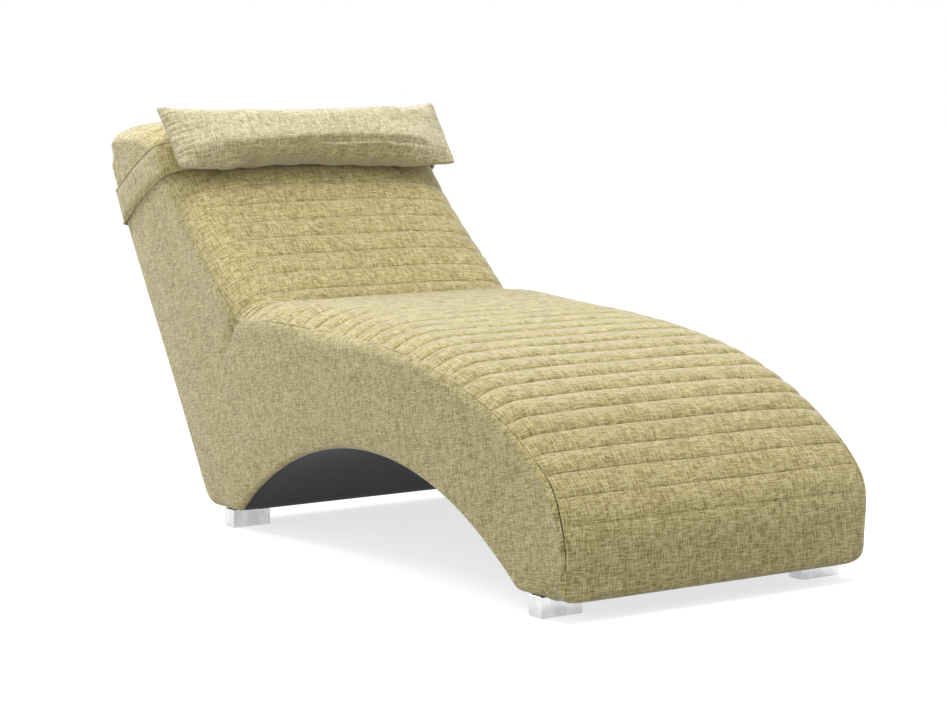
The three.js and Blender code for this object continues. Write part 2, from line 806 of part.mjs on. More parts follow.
// The neck pillow and its band slide up the backrest together
function addHeadrest() {
  const headrest = new THREE.Group();
  chaise.add(headrest);
  addPiece(headrest, 'neck_pillow', pillowGeometry(), seatFabric());
  addPiece(headrest, 'neck_band', bandGeometry(), sideFabric());
}

addSides();
addRails();
addDeck();
addSkins();
addCushions();
addFeet();
addHeadrest();

// The origin lies under the middle of the whole length
chaise.updateMatrixWorld(true);
const reach = new THREE.Box3().setFromObject(chaise, true);
chaise.position.y = -(reach.min.y + reach.max.y) / 2;

export default chaise;
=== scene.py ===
import math

import bmesh
import bpy
import numpy as np
from mathutils import Matrix, Vector
from mathutils.geometry import delaunay_2d_cdt


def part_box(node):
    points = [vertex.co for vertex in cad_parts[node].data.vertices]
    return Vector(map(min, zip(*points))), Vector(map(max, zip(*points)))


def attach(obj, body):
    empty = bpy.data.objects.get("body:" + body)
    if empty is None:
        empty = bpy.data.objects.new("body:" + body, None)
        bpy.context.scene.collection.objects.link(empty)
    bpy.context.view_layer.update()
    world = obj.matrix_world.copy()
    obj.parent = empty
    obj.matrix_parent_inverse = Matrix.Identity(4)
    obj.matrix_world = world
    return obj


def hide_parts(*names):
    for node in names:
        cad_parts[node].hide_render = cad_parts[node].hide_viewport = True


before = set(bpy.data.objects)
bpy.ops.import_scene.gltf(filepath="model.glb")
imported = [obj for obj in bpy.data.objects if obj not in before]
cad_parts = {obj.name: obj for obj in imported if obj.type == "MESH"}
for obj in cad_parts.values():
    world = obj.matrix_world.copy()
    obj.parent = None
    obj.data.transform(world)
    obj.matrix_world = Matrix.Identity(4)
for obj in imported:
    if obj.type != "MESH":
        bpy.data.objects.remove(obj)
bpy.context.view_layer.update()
print("frame loaded")


# Small helpers

def linear(hexColour):  # sRGB hex to the linear values that the shaders want
    channels = [int(hexColour[i:i + 2], 16) / 255 for i in (1, 3, 5)]
    return [c / 12.92 if c <= 0.04045 else ((c + 0.055) / 1.055) ** 2.4 for c in channels] + [1.0]


def addNode(tree, kind, inputs=None, **settings):
    node = tree.nodes.new(kind)
    for name, value in settings.items():
        setattr(node, name, value)
    for name, value in (inputs or {}).items():
        if isinstance(value, bpy.types.NodeSocket):
            tree.links.new(value, node.inputs[name])
        else:
            node.inputs[name].default_value = value
    return node


def smooth(value, low, high):
    share = np.clip((np.asarray(value, float) - low) / (high - low), 0, 1)
    return share * share * (3 - 2 * share)


slowWaves = [(1.0, 0.35, 0.3), (-0.6, 1.0, 1.9), (1.7, -1.3, 4.1), (0.8, 2.3, 2.7)]  # turns by u and v, phase


def wander(u, v, seed):  # slow deterministic unevenness, about -1 to 1
    total = 0.0
    for k, (a, b, phase) in enumerate(slowWaves):
        total = total + np.sin(a * u + b * v + phase + seed * (1.7 + k)) / (1.3 + 0.5 * k)
    return total / 2.0


def runOf(points):  # distance along a line at each of its points
    return np.concatenate([[0], np.cumsum(np.hypot(*np.diff(points, axis=0).T))])


def pick(at, run, values):  # values of a line at other distances along it
    return np.stack([np.interp(at, run, v) for v in values.T], -1)


def ringFaces(rings, size, closed=False):  # joins rings of points, each to the next
    faces = []
    for r in range(rings if closed else rings - 1):
        m = (r + 1) % rings
        for c in range(size):
            n = (c + 1) % size
            faces.append((r * size + c, r * size + n, m * size + n, m * size + c))
    return faces


def meshOf(name, points, faces, uv=None):
    mesh = bpy.data.meshes.new(name)
    mesh.from_pydata([tuple(p) for p in points], [], [tuple(int(i) for i in f) for f in faces])
    mesh.validate()
    if uv is not None:
        layer = mesh.uv_layers.new(name="Weave")
        index = np.zeros(len(mesh.loops), int)
        mesh.loops.foreach_get("vertex_index", index)
        layer.data.foreach_set("uv", np.asarray(uv, float)[index].astype(np.float32).ravel())
    mesh.polygons.foreach_set("use_smooth", np.ones(len(mesh.polygons), bool))
    mesh.update()
    piece = bpy.data.objects.new(name, mesh)
    return inScene(piece)


def inScene(thing):
    bpy.context.scene.collection.objects.link(thing)
    return thing


def outwards(piece):  # turns a closed shell's faces to point out
    work = bmesh.new()
    work.from_mesh(piece.data)
    bmesh.ops.recalc_face_normals(work, faces=work.faces)
    work.to_mesh(piece.data)
    work.free()
    piece.data.update()
    return piece


def bake(piece):  # turns a piece's modifiers into its mesh
    shaped = bpy.data.meshes.new_from_object(piece.evaluated_get(bpy.context.evaluated_depsgraph_get()))
    piece.modifiers.clear()
    piece.data = shaped


def snake(name):  # the solid that a piece stands for
    return "".join("_" + c.lower() if c.isupper() else c for c in name)


def finishPiece(piece, body, slotName, *nodes):
    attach(piece, body)
    if nodes:
        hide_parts(*nodes)
    return piece


# Side view

# Metres: reach from the foot end and height above the floor, as the solids have them, apart from
# the arch, whose front end and rise follow the photo a little closer
sideView = {
    "halfWidth": 0.315, "bottom": 0.036, "originReach": 0.833755,
    "frontFoot": (0.008, 0.036), "frontShoulder": (0.008, 0.110), "frontRest": 0.012,
    "seatLevel": (0.951, 0.418), "crease": (1.092, 0.414), "creaseSpread": 0.042,
    "shoulder": (1.396, 0.693), "crest": (1.572, 0.772),
    "seatHandles": (0.207, 0.602), "backHandles": (0.190, 0.159), "noseHandles": (0.070, 0.095),
    "backAngle": 41.6, "shoulderAngle": 50, "length": 1.665, "noseRadius": 0.034,
    "rearTopAngle": 65.3, "rearTopStep": 0.005, "rearTopHandle": 0.209,
    "rearFoot": (1.242, 0.036), "rearFootAngle": 58.8, "rearFootHandle": 0.480, "rearCorner": 0.030,
    "archFront": 0.150, "archRear": 1.113, "archRise": 0.1735, "archCorner": 0.012,
    "sag": 0.005, "sagStart": 0.062, "sagEnd": 0.078, "sagTop": 0.100,
}
halfWidth, bottom = sideView["halfWidth"], sideView["bottom"]


def ahead(start, angle, distance):
    turn = math.radians(angle)
    return np.array(start, float) + distance * np.array([math.cos(turn), math.sin(turn)])


def cubic(a, b, c, d, count):
    t = np.linspace(0, 1, count + 1)[:, None]
    a, b, c, d = (np.array(p, float) for p in (a, b, c, d))
    return (1 - t) ** 3 * a + 3 * (1 - t) ** 2 * t * b + 3 * (1 - t) * t * t * c + t ** 3 * d


def curve(start, angle, reach, end, endAngle, endReach, count):  # leaves and arrives at set angles
    return cubic(start, ahead(start, angle, reach), ahead(end, endAngle, endReach), end, count)


def chain(*stretches):
    points = []
    for stretch in stretches:
        for p in stretch:
            if not points or np.hypot(*(np.array(p) - points[-1])) > 0.0003:
                points.append(np.array(p, float))
    return np.array(points)


def makeRoute(points):
    steps = np.diff(points, axis=0)
    lengths = np.hypot(steps[:, 0], steps[:, 1])
    facing = np.stack([-steps[:, 1], steps[:, 0]], 1) / lengths[:, None]
    before = np.vstack([facing[:1], facing])
    after = np.vstack([facing, facing[-1:]])
    spreads = (before + after) / (1 + np.sum(before * after, 1))[:, None]
    distances = np.concatenate([[0], np.cumsum(lengths)])
    return {"points": points, "spreads": spreads, "distances": distances}


def routeAt(route, distance, out=0.0):
    point, spread = (pick(distance, route["distances"], route[part]) for part in ("points", "spreads"))
    return point + spread * np.asarray(out, float)[..., None]


def fillet(points, index, radius, count=8):  # rounds one corner of a line
    a, p, b = points[index - 1], points[index], points[index + 1]
    start = p + (a - p) / np.hypot(*(a - p)) * radius
    end = p + (b - p) / np.hypot(*(b - p)) * radius
    t = np.linspace(0, 1, count + 1)[:, None]
    bend = (1 - t) ** 2 * start + 2 * (1 - t) * t * p + t * t * end
    return np.vstack([points[:index], bend, points[index + 1:]])


def deckLine():
    s = sideView
    (seatOut, seatIn), (backOut, backIn) = s["seatHandles"], s["backHandles"]
    noseOut, noseIn = s["noseHandles"]
    seat = curve(s["frontShoulder"], 90, seatOut, s["seatLevel"], 180, seatIn, 160)
    back = curve(s["crease"], s["backAngle"], backOut, s["shoulder"], s["shoulderAngle"] + 180, backIn, 60)
    far = np.hypot(*(back - back[0]).T) > s["creaseSpread"]  # the corner's spread fades out over this
    back = np.vstack([back[:1], back[far]])
    nose = curve(s["shoulder"], s["shoulderAngle"], noseOut, s["crest"], 180, noseIn, 30)
    centre = np.array([s["length"] - s["noseRadius"], s["crest"][1] - s["noseRadius"]])
    turns = np.linspace(90, s["rearTopAngle"] - 90, 24)
    arc = np.array([ahead(centre, a, s["noseRadius"]) for a in turns])
    rearTop = ahead(arc[-1], s["rearTopAngle"] + 180, s["rearTopStep"])
    front = np.linspace(s["frontFoot"], s["frontShoulder"], 12)
    seatLine = chain(front, seat, [s["crease"]])
    backLine = chain(back)
    return seatLine, backLine, chain(nose, arc, [rearTop]), rearTop


seatLine, backLine, noseLine, rearTop = deckLine()
deck = makeRoute(chain(seatLine, backLine, noseLine))
creaseAt = makeRoute(seatLine)["distances"][-1]
shoulderAt = creaseAt + makeRoute(backLine)["distances"][-1]
deckEnd = deck["distances"][-1]


def rearLine():
    s = sideView
    down = s["rearTopAngle"] + 180
    start = ahead(rearTop, down, s["rearTopStep"])
    handles = s["rearTopHandle"], s["rearFootHandle"]
    return chain([rearTop], curve(start, down, handles[0], s["rearFoot"], s["rearFootAngle"], handles[1], 60))


def archLine():  # head end to foot end
    s = sideView
    half = (s["archRear"] - s["archFront"]) / 2
    radius = (half ** 2 + s["archRise"] ** 2) / (2 * s["archRise"])
    middle = np.array([s["archFront"] + half, bottom + s["archRise"] - radius])
    turn = math.asin(half / radius)
    angles = np.linspace(turn, -turn, 120)
    return middle + radius * np.stack([np.sin(angles), np.cos(angles)], 1)


rearRoute = makeRoute(rearLine())


def lowerLine():  # rear edge, bottoms and arch, all corners rounded
    s = sideView
    rear, arch = rearLine(), archLine()
    points = np.vstack([rear, arch, [[s["frontFoot"][0] + s["frontRest"], bottom]]])
    k = len(rear) + len(arch) - 1
    points = fillet(points[np.r_[0:k - 2, k, k + 1]], k - 2, s["archCorner"])  # front end of the arch
    k = len(rear)
    points = fillet(np.delete(points, [k + 1, k + 2], 0), k, s["archCorner"])
    k = len(rear) - 1
    return fillet(np.delete(points, [k - 2, k - 1], 0), k - 2, s["rearCorner"], 10)


print("crease at", round(creaseAt, 4), "shoulder", round(shoulderAt, 4), "end", round(deckEnd, 4))


# Quilting shape

quilt = {
    "crown": 0.0312, "crownStart": 0.272, "crownFade": 0.285, "headLoss": 0.62,
    "wrap": 0.044, "wrapTop": 0.095, "wrapPower": 1.6,
    # how far the channels' ends turn towards the foot end, and where that begins and stops
    "bend": 0.012, "bendIn": (0.17, 0.40), "straightEnd": 0.070,
    "backBend": 0.009, "backBendIn": (0.60, 0.95), "backBendOut": (1.15, 1.28), "bendFrom": 0.12,
    "lip": 0.018, "frontBulge": 0.008, "bulgeRun": 0.190,
    "channelDepth": 0.0074, "backChannelDepth": 0.0052, "creaseDepth": 0.013,
    "firstShares": (0.34, 0.5, 0.64, 0.82),  # the first channels are shallower
    "seatStart": 0.124, "seatPitch": 0.0473, "seatCount": 25, "frontGap": 0.006,
    "backStart": 0.042, "backPitch": 0.0505, "backCount": 13, "endRoom": 0.035, "endFade": 0.006,
    "lowerCorner": 0.030, "cornerRun": (0.035, 0.10), "under": 0.0215, "inset": 0.016,
    "rise": 0.0007, "riseRun": 0.055, "drift": 0.0013, "driftRun": 0.075,  # unevenness of the rolls
    "riseFrom": (0.05, 0.2), "driftFrom": (0.06, 0.2), "riseStep": 1.9, "driftStep": 2.3, "seeds": (2, 5),
    "seatFade": (0.300, 0.330), "backFade": (0.285, 0.345),  # where across the channels run out
    "nearLoss": (0.080, 0.083), "nearRun": (-0.03, 0.04),
    "tuckIn": (0.0010, 0.0045), "tuckDown": (0.0002, 0.0005), "sinkFrom": 0.018, "cornerShare": 0.6,
    "across": 18, "edgeCount": 30, "footRun": 0.12, "turnSteps": 70, "wallSteps": 30, "lastStep": 0.0005,
    "channelPower": 2.5,
}


def crownAt(d):
    q, d = quilt, np.asarray(d, float)
    run = np.maximum(0, np.minimum(d, shoulderAt) - q["crownStart"])
    overHead = np.clip((d - shoulderAt) / (deckEnd - shoulderAt), 0, 1)
    return q["crown"] * np.tanh(run / q["crownFade"]) * (1 - overHead * q["headLoss"])


# The rounded long edge, by distance along the deck: how far it falls below the side view's line,
# how far in it starts, how much it swells sideways, and how far round it the seam lies (degrees)
longEdge = {
    "at": [0, 0.074, 0.134, 0.204, 0.284, 0.384, 0.524, 0.764, 0.95, 1.18, 1.34, 1.69, 1.97],
    "drop": [0.012, 0.0075, 0.0045, 0.012, 0.020, 0.0225, 0.0215, 0.022, 0.030, 0.022, 0.022, 0.024, 0.030],
    "reach": [0.020, 0.022, 0.026, 0.050, 0.052, 0.058, 0.072, 0.108, 0.130, 0.070, 0.074, 0.100, 0.125],
    "bulge": [0.000, 0.003, 0.0085, 0.008, 0.007, 0.006, 0.006, 0.004, 0.004, 0.006, 0.006, 0.004, 0.006],
    "seamTurn": [45, 45, 38, 48, 56, 62, 64, 64, 64, 66, 74, 74, 74],
}


def edgeAt(name, d):  # a smooth curve through one row of the table
    at, values = np.array(longEdge["at"]), np.array(longEdge[name], float)
    slopes = np.gradient(values, at)
    d = np.clip(np.asarray(d, float), at[0], at[-1])
    k = np.clip(np.searchsorted(at, d, side="right") - 1, 0, len(at) - 2)
    step = at[k + 1] - at[k]
    t = (d - at[k]) / step
    start = (1 + 2 * t) * (1 - t) ** 2 * values[k] + t * (1 - t) ** 2 * step * slopes[k]
    return start + t * t * (3 - 2 * t) * values[k + 1] + t * t * (t - 1) * step * slopes[k + 1]


def cornerAt(d):  # height of the rounded edge from crown to side
    return crownAt(d) + edgeAt("drop", d)


def seamDepth(d):  # how far the seam lies below the side view's line
    q = quilt
    roundDepth = edgeAt("drop", d) - cornerAt(d) * np.cos(np.radians(edgeAt("seamTurn", d)))
    below = (q["wrapTop"] - bottom - np.asarray(d, float)) / (q["wrapTop"] - bottom)
    return roundDepth + q["wrap"] * np.clip(below, 0, 1) ** q["wrapPower"]


def bendAt(d):  # the channels' ends turn a little towards the foot end, but not at the head's end
    q = quilt
    straight = smooth(d, deckEnd - q["straightEnd"], deckEnd)
    onBack = smooth(d, *q["backBendIn"]) * (1 - smooth(d, *q["backBendOut"]))
    return q["bend"] * smooth(d, *q["bendIn"]) * (1 - straight) + q["backBend"] * onBack


sidePanel = {
    "inner": 0.2853, "archRound": 0.008, "rearRound": 0.008, "bottomRound": 0.010,
    "topRound": 0.2, "topRun": 0.025,  # share of the rear rounding at its top end, and how far that goes
    "seamGap": 0.0006, "shutGap": 0.0002, "shutFrom": (0.35, 0.65), "seamHalf": 0.0016,
    "puff": 0.004, "puffFade": 0.045, "seamFade": 0.06, "uneven": 0.0008,
    "spacing": 0.0085, "edgeSpacing": 0.0055, "cornerSpacing": 0.002, "topGap": 0.0006,
    "insets": (0.0007, 0.0016, 0.003, 0.0048, 0.007, 0.010, 0.0145, 0.020), "gridInset": 0.026,
    "tuck": (0.0026, 0.0022), "tuckBack": 0.0036, "backGap": 0.001, "weaveTilt": 11,
    "rearFade": 0.05, "archFrom": (0.012, 0.05), "frontFade": (0.09, 0.13), "puffFrom": (0.05, 0.25),
    "unevenFrom": (0.01, 0.06), "unevenRun": (0.05, 0.06), "unevenSeed": 3,
    "joinGap": 0.003, "keptShare": 0.93, "rowShare": 0.866, "seamSteps": (40, 500),
}


def sagAt(s, z):  # ahead of the feet the padding hangs a little below the base
    v = sideView
    return v["sag"] * (1 - smooth(z, bottom, v["sagTop"])) * (1 - smooth(s, v["sagStart"], v["sagEnd"]))


def sideReach(s, z):  # half width of the front pedestal at its lower edge
    least = sidePanel["bottomRound"]
    radius = least + (quilt["lowerCorner"] - least) * (1 - smooth(s, *quilt["cornerRun"]))
    up = np.clip((z - bottom) / radius, 0, 1)
    return halfWidth - radius * (1 - np.sqrt(np.maximum(0, 1 - (1 - up) ** 2)))


def edgeProfile(d, count):  # crown's edge to seam: across, height, outward direction, run
    q, c, b, a = quilt, float(crownAt(d)), float(cornerAt(d)), float(edgeAt("reach", d))
    low, seam = b - c, float(seamDepth(d))
    point = routeAt(deck, d)
    bulge = float(edgeAt("bulge", d))
    edge = (float(sideReach(*point)) if d < q["footRun"] else halfWidth) + bulge
    last = math.acos(max(0.0, min(1.0, (low - min(seam, low)) / b)))
    phi = np.linspace(0, last, q["turnSteps"])
    x, h = edge - a + a * np.sin(phi), c - b + b * np.cos(phi)
    if seam > low:
        depth = np.linspace(low, seam, q["wallSteps"])[1:]
        place = routeAt(deck, d, -depth)
        x = np.concatenate([x, sideReach(place[:, 0], point[1]) + bulge])
        h = np.concatenate([h, -depth])
    run = runOf(np.stack([x, h], 1))
    at = np.append(np.linspace(0, run[-1] - q["lastStep"], count - 1), run[-1])
    x, h = np.interp(at, run, x), np.interp(at, run, h)
    slopeX, slopeH = np.gradient(x), np.gradient(h)
    size = np.hypot(slopeX, slopeH)
    return x, h, -slopeH / size, slopeX / size, at


def channelDrop(share):  # 1 in a channel, 0 on top of a roll
    away = np.abs(2 * share - 1)
    return 1 - np.sqrt(np.maximum(0, 1 - away ** quilt["channelPower"]))


rollShares = [0, 0.012, 0.04, 0.09, 0.17, 0.28, 0.42, 0.58, 0.72, 0.83, 0.91, 0.96, 0.988]


def quiltRows(valleys, depths):  # distance, channel drop, roll number
    rows = []
    for k in range(len(valleys) - 1):
        for share in rollShares:
            d = valleys[k] + share * (valleys[k + 1] - valleys[k])
            depth = depths[k] + share * (depths[k + 1] - depths[k])
            rows.append((d, depth * float(channelDrop(share)), k + share))
    rows.append((valleys[-1], depths[-1], len(valleys) - 1))
    return rows


def mirrored(middle, edge, sign):  # a half section's values, with the other half's before them
    half = np.concatenate([middle, edge])
    return np.concatenate([sign * half[::-1], half[1:]])


def sideways(x, place):  # points in space from side view places
    return np.stack([x, place[:, 0] - sideView["originReach"], place[:, 1]], 1)


def coverRing(row, fadeAt):  # one section through a quilted cover, and its run across the weave
    q, (d, drop, roll) = quilt, row
    x, h, nx, nh, run = edgeProfile(d, q["edgeCount"])
    across = q["across"]
    mid = np.linspace(0, 1, across + 1)[:-1] * x[0]
    xs, runs = mirrored(mid, x, -1), mirrored(mid, x[0] + run, -1)
    nxs, nhs = mirrored(np.zeros(across), nx, -1), mirrored(np.ones(across), nh, 1)
    hs = mirrored(np.full(across, h[0]), h, 1)
    fade = 1 - smooth(np.abs(runs), *fadeAt(d, runs))
    middle = np.maximum(0, 1 - (xs / halfWidth) ** 2)
    bulge = q["frontBulge"] * middle * math.sin(math.pi * min(1, d / q["bulgeRun"]))
    lipIn = max(0.0, q["lip"] - d) / q["lip"]
    lip = q["lip"] * (1 - math.sqrt(1 - lipIn * lipIn))
    seeds = q["seeds"]
    rise = q["rise"] * wander(runs / q["riseRun"], roll * q["riseStep"], seeds[0]) * fade
    push = -drop * fade + rise * smooth(d, *q["riseFrom"])
    along = q["drift"] * wander(runs / q["driftRun"], round(roll) * q["driftStep"], seeds[1]) * fade
    along = along * smooth(d, *q["driftFrom"]) - bendAt(d) * smooth(np.abs(xs), q["bendFrom"], halfWidth)
    ring = sideways(xs + nxs * push, routeAt(deck, d + along, hs + nhs * push + bulge - lip))
    # the edge turns in at the seam, and a plain inner face closes the shell
    rim = hs[-1] + bulge[-1] - lip
    near, far = q["tuckIn"]
    inX = xs[-1] - np.array([nxs[-1] * near, nxs[-1] * near + far - near])
    right = sideways(inX, routeAt(deck, d, rim - np.array(q["tuckDown"])))
    left = right[::-1] * np.array([-1, 1, 1])
    sunk = max(0.0, seamDepth(d) - q["sinkFrom"]) * np.array([1, 0, 0, 1])
    narrow = q["inset"] + max(0.0, q["lowerCorner"] - d) * q["cornerShare"]
    insideX = np.array([1, 0.5, -0.5, -1]) * (halfWidth - narrow)
    inside = sideways(insideX, routeAt(deck, d, -q["under"] - sunk))
    full = np.vstack([left, ring, right, inside])
    full[:, 2] -= sagAt(full[:, 1] + sideView["originReach"], full[:, 2])
    tucked = runs[-1] + np.array([0.001, 0.004])
    return full, np.concatenate([-tucked[::-1], runs, tucked, insideX])


def quiltedCover(name, rows, fadeAt):
    rings = [coverRing(row, fadeAt) for row in rows]
    points = np.array([ring for ring, _ in rings])
    uv = np.vstack([np.stack([run, np.full(len(run), row[0])], 1) for row, (_, run) in zip(rows, rings)])
    count, size = points.shape[:2]
    ends = [tuple(range(size))[::-1], tuple((count - 1) * size + c for c in range(size))]
    faces = ringFaces(count, size) + ends
    piece = outwards(meshOf(name, points.reshape(-1, 3), faces, uv))
    finishPiece(piece, "root", "woven_fabric", snake(name))
    print(name, len(piece.data.polygons))
    return piece, points


q = quilt
seatValleys = [q["seatStart"] + k * q["seatPitch"] for k in range(q["seatCount"])] + [creaseAt]
seatShares = q["firstShares"] + (1,) * (q["seatCount"] - len(q["firstShares"]))
seatDepths = [q["channelDepth"] * s for s in seatShares] + [q["creaseDepth"]]
lipRows = [(q["lip"] * (1 - math.cos(a)), 0, -3) for a in np.linspace(0, math.pi / 2, 10)]
frontRun = np.linspace(q["lip"] + 0.004, q["seatStart"] - q["frontGap"], 22)
seatRows = lipRows + [(d, 0, -2) for d in frontRun] + quiltRows(seatValleys, seatDepths)
seatCover, seatGrid = quiltedCover("seatCover", seatRows, lambda d, runs: quilt["seatFade"])

backValleys = [creaseAt] + [creaseAt + q["backStart"] + k * q["backPitch"] for k in range(q["backCount"])]
backValleys = [v for v in backValleys if v < deckEnd - q["endRoom"]]
backDepths = [q["creaseDepth"]] + [q["backChannelDepth"]] * (len(backValleys) - 1)
endRows = []
for d in np.linspace(backValleys[-1], deckEnd, 16)[1:]:
    fading = math.exp(-(d - backValleys[-1]) / q["endFade"])
    endRows.append((d, q["backChannelDepth"] * fading, len(backValleys)))


def backFade(d, runs):  # the channels run out short of the near edge, but go over it on the head
    left = (runs < 0) * (1 - smooth(d - shoulderAt, *quilt["nearRun"]))
    return tuple(end - left * loss for end, loss in zip(quilt["backFade"], quilt["nearLoss"]))


backRows = quiltRows(backValleys, backDepths) + endRows
backCover, backGrid = quiltedCover("backCover", backRows, backFade)


# Side covers

def evenly(points, spacing):
    run = runOf(points)
    return pick(np.linspace(0, run[-1], max(2, int(round(run[-1] / spacing))) + 1), run, points)


def nearestOn(points, line):  # distance to a line and the distance along it
    run = runOf(line)
    best, where = np.full(len(points), 9.0), np.zeros(len(points))
    a, step = line[:-1], np.diff(line, axis=0)
    for start in range(0, len(points), 4000):
        p = points[start:start + 4000]
        t = np.clip(((p[:, None] - a) * step).sum(-1) / (step ** 2).sum(-1), 0, 1)
        gap = np.hypot(*np.moveaxis(p[:, None] - a - t[..., None] * step, -1, 0))
        k = gap.argmin(1)
        best[start:start + 4000] = gap[np.arange(len(p)), k]
        where[start:start + 4000] = run[k] + t[np.arange(len(p)), k] * np.hypot(*step[k].T)
    return best, where


def seamOpen(d):  # the seam shows as a thin line near the foot end and is pressed shut further back
    s = sidePanel
    return s["seamGap"] - (s["seamGap"] - s["shutGap"]) * smooth(d, *s["shutFrom"])


def seamLine():
    foot, (near, far) = quilt["footRun"], sidePanel["seamSteps"]
    d = np.unique(np.concatenate([np.linspace(0, foot, near), np.linspace(foot, deckEnd, far)]))
    line = routeAt(deck, d, -(seamDepth(d) + seamOpen(d)))
    keep = np.ones(len(line), bool)  # the offset folds over itself inside a bend
    forward = np.sum(np.diff(line, axis=0) * np.diff(routeAt(deck, d), axis=0), 1) > 0
    keep[1:] = forward
    return line[keep]


lower = lowerLine()
upper = seamLine()


def insidePolygon(points, outline):
    x, y = points[:, 0], points[:, 1]
    found = np.zeros(len(points), bool)
    for a, b in zip(outline, np.roll(outline, -1, axis=0)):
        hit = (a[1] > y) != (b[1] > y)
        found ^= hit & (x < (b[0] - a[0]) * (y - a[1]) / (b[1] - a[1] + 1e-15) + a[0])
    return found


def belowTop(distance):  # a point on the rear edge just under its top end
    return rearTop + (lower[1] - rearTop) / np.hypot(*(lower[1] - rearTop)) * distance


def panelOutline():
    s = sidePanel
    upperEven = evenly(upper, s["edgeSpacing"])
    start = np.array([upperEven[0][0], bottom])
    past = (lower[:, 0] < start[0]) & (lower[:, 1] < bottom + 1e-6)
    stop = np.argmax(past) or len(lower)
    corner = belowTop(s["topGap"])
    headEnd = evenly(np.vstack([upperEven[-1:], corner]), s["cornerSpacing"])
    lowerEven = evenly(np.vstack([corner, lower[1:stop], [start]]), s["edgeSpacing"])
    if np.hypot(*(lowerEven[-1] - upperEven[0])) < s["joinGap"]:
        lowerEven = lowerEven[:-1]
    return np.vstack([upperEven, headEnd[1:-1], lowerEven])


# The fold that runs down the side from the crease, with the seat's side of it a little proud
foldSet = {
    "top": (1.096, 0.420), "foot": (1.176, 0.305), "starts": (-0.02, 0.01), "stops": (0.02, 0.15),
    "depth": 0.0045, "width": 0.010, "proud": 0.0030, "proudStart": 0.008, "proudFade": 0.10,
}


def foldAt(places):
    f = foldSet
    top = np.array(f["top"])
    run = np.array(f["foot"]) - top
    run = run / np.hypot(*run)
    down = (places - top) @ run
    off = (places - top) @ np.array([run[1], -run[0]])
    dent = f["depth"] * np.exp(-(off / f["width"]) ** 2)
    seat = np.minimum(off, 0)
    proud = f["proud"] * (1 - np.exp(seat / f["proudStart"])) * np.exp(seat / f["proudFade"])
    return (1 - smooth(down, *f["stops"])) * smooth(down, *f["starts"]) * (proud - dent)


def panelReach(places):  # how far out the side cover lies at places of the side view
    p = sidePanel
    toDeck, along = nearestOn(places, routeAt(deck, np.linspace(0, deckEnd, 900)))
    toLower, lowerAlong = nearestOn(places, lower)
    toSeam, _ = nearestOn(places, upper)
    s, z = places[:, 0], places[:, 1]
    rearLength = rearRoute["distances"][-1]
    rearShare = 1 - smooth(lowerAlong, rearLength - p["rearFade"], rearLength)
    archShare = smooth(z - bottom, *p["archFrom"]) * (1 - rearShare)
    radius = p["bottomRound"] + (p["rearRound"] - p["bottomRound"]) * rearShare
    radius = radius + (p["archRound"] - radius) * archShare
    radius = radius * (1 - (1 - p["topRound"]) * rearShare * (1 - smooth(lowerAlong, 0, p["topRun"])))
    within = np.clip(1 - toLower / radius, 0, 1)
    x = halfWidth - radius * (1 - np.sqrt(1 - within ** 2))
    front = 1 - smooth(s, *p["frontFade"])
    x = x * (1 - front) + sideReach(s, z) * front
    low = edgeAt("drop", along)
    cosine = np.clip((low - toDeck) / cornerAt(along), 0, 1)
    x = x - edgeAt("reach", along) * (1 - np.sqrt(1 - cosine ** 2)) * (toDeck < low)
    fromSeam = np.exp(-toSeam / p["seamFade"])
    x = x + edgeAt("bulge", along) * fromSeam
    x = x + p["puff"] * (1 - fromSeam) * (1 - np.exp(-toLower / p["puffFade"])) * smooth(s, *p["puffFrom"])
    x = x - seamOpen(along) * np.clip(1 - toSeam / p["seamHalf"], 0, 1) ** 2 + foldAt(places)
    away, (runS, runZ) = smooth(np.minimum(toSeam, toLower), *p["unevenFrom"]), p["unevenRun"]
    return x + p["uneven"] * wander(s / runS, z / runZ, p["unevenSeed"]) * away


def panelPlaces(ring, inward):  # rows close to the edge, then an even grid
    closed = np.vstack([ring, ring[:1]])
    p, inner = sidePanel, []
    for depth in p["insets"]:
        moved = ring + inward * depth
        gap, _ = nearestOn(moved, closed)
        inner.append(moved[(gap > depth * p["keptShare"]) & insidePolygon(moved, ring)])
    step, low, high = p["spacing"], ring.min(0), ring.max(0)
    rows = np.arange(low[1], high[1], step * p["rowShare"])
    gridX, gridY = np.meshgrid(np.arange(low[0], high[0], step), rows)
    gridX = gridX + (np.arange(gridX.shape[0]) % 2)[:, None] * step / 2
    grid = np.stack([gridX.ravel(), gridY.ravel()], 1)
    grid = grid[insidePolygon(grid, ring)]
    gap, _ = nearestOn(grid, closed)
    return np.vstack([ring, *inner, grid[gap > p["gridInset"]]])


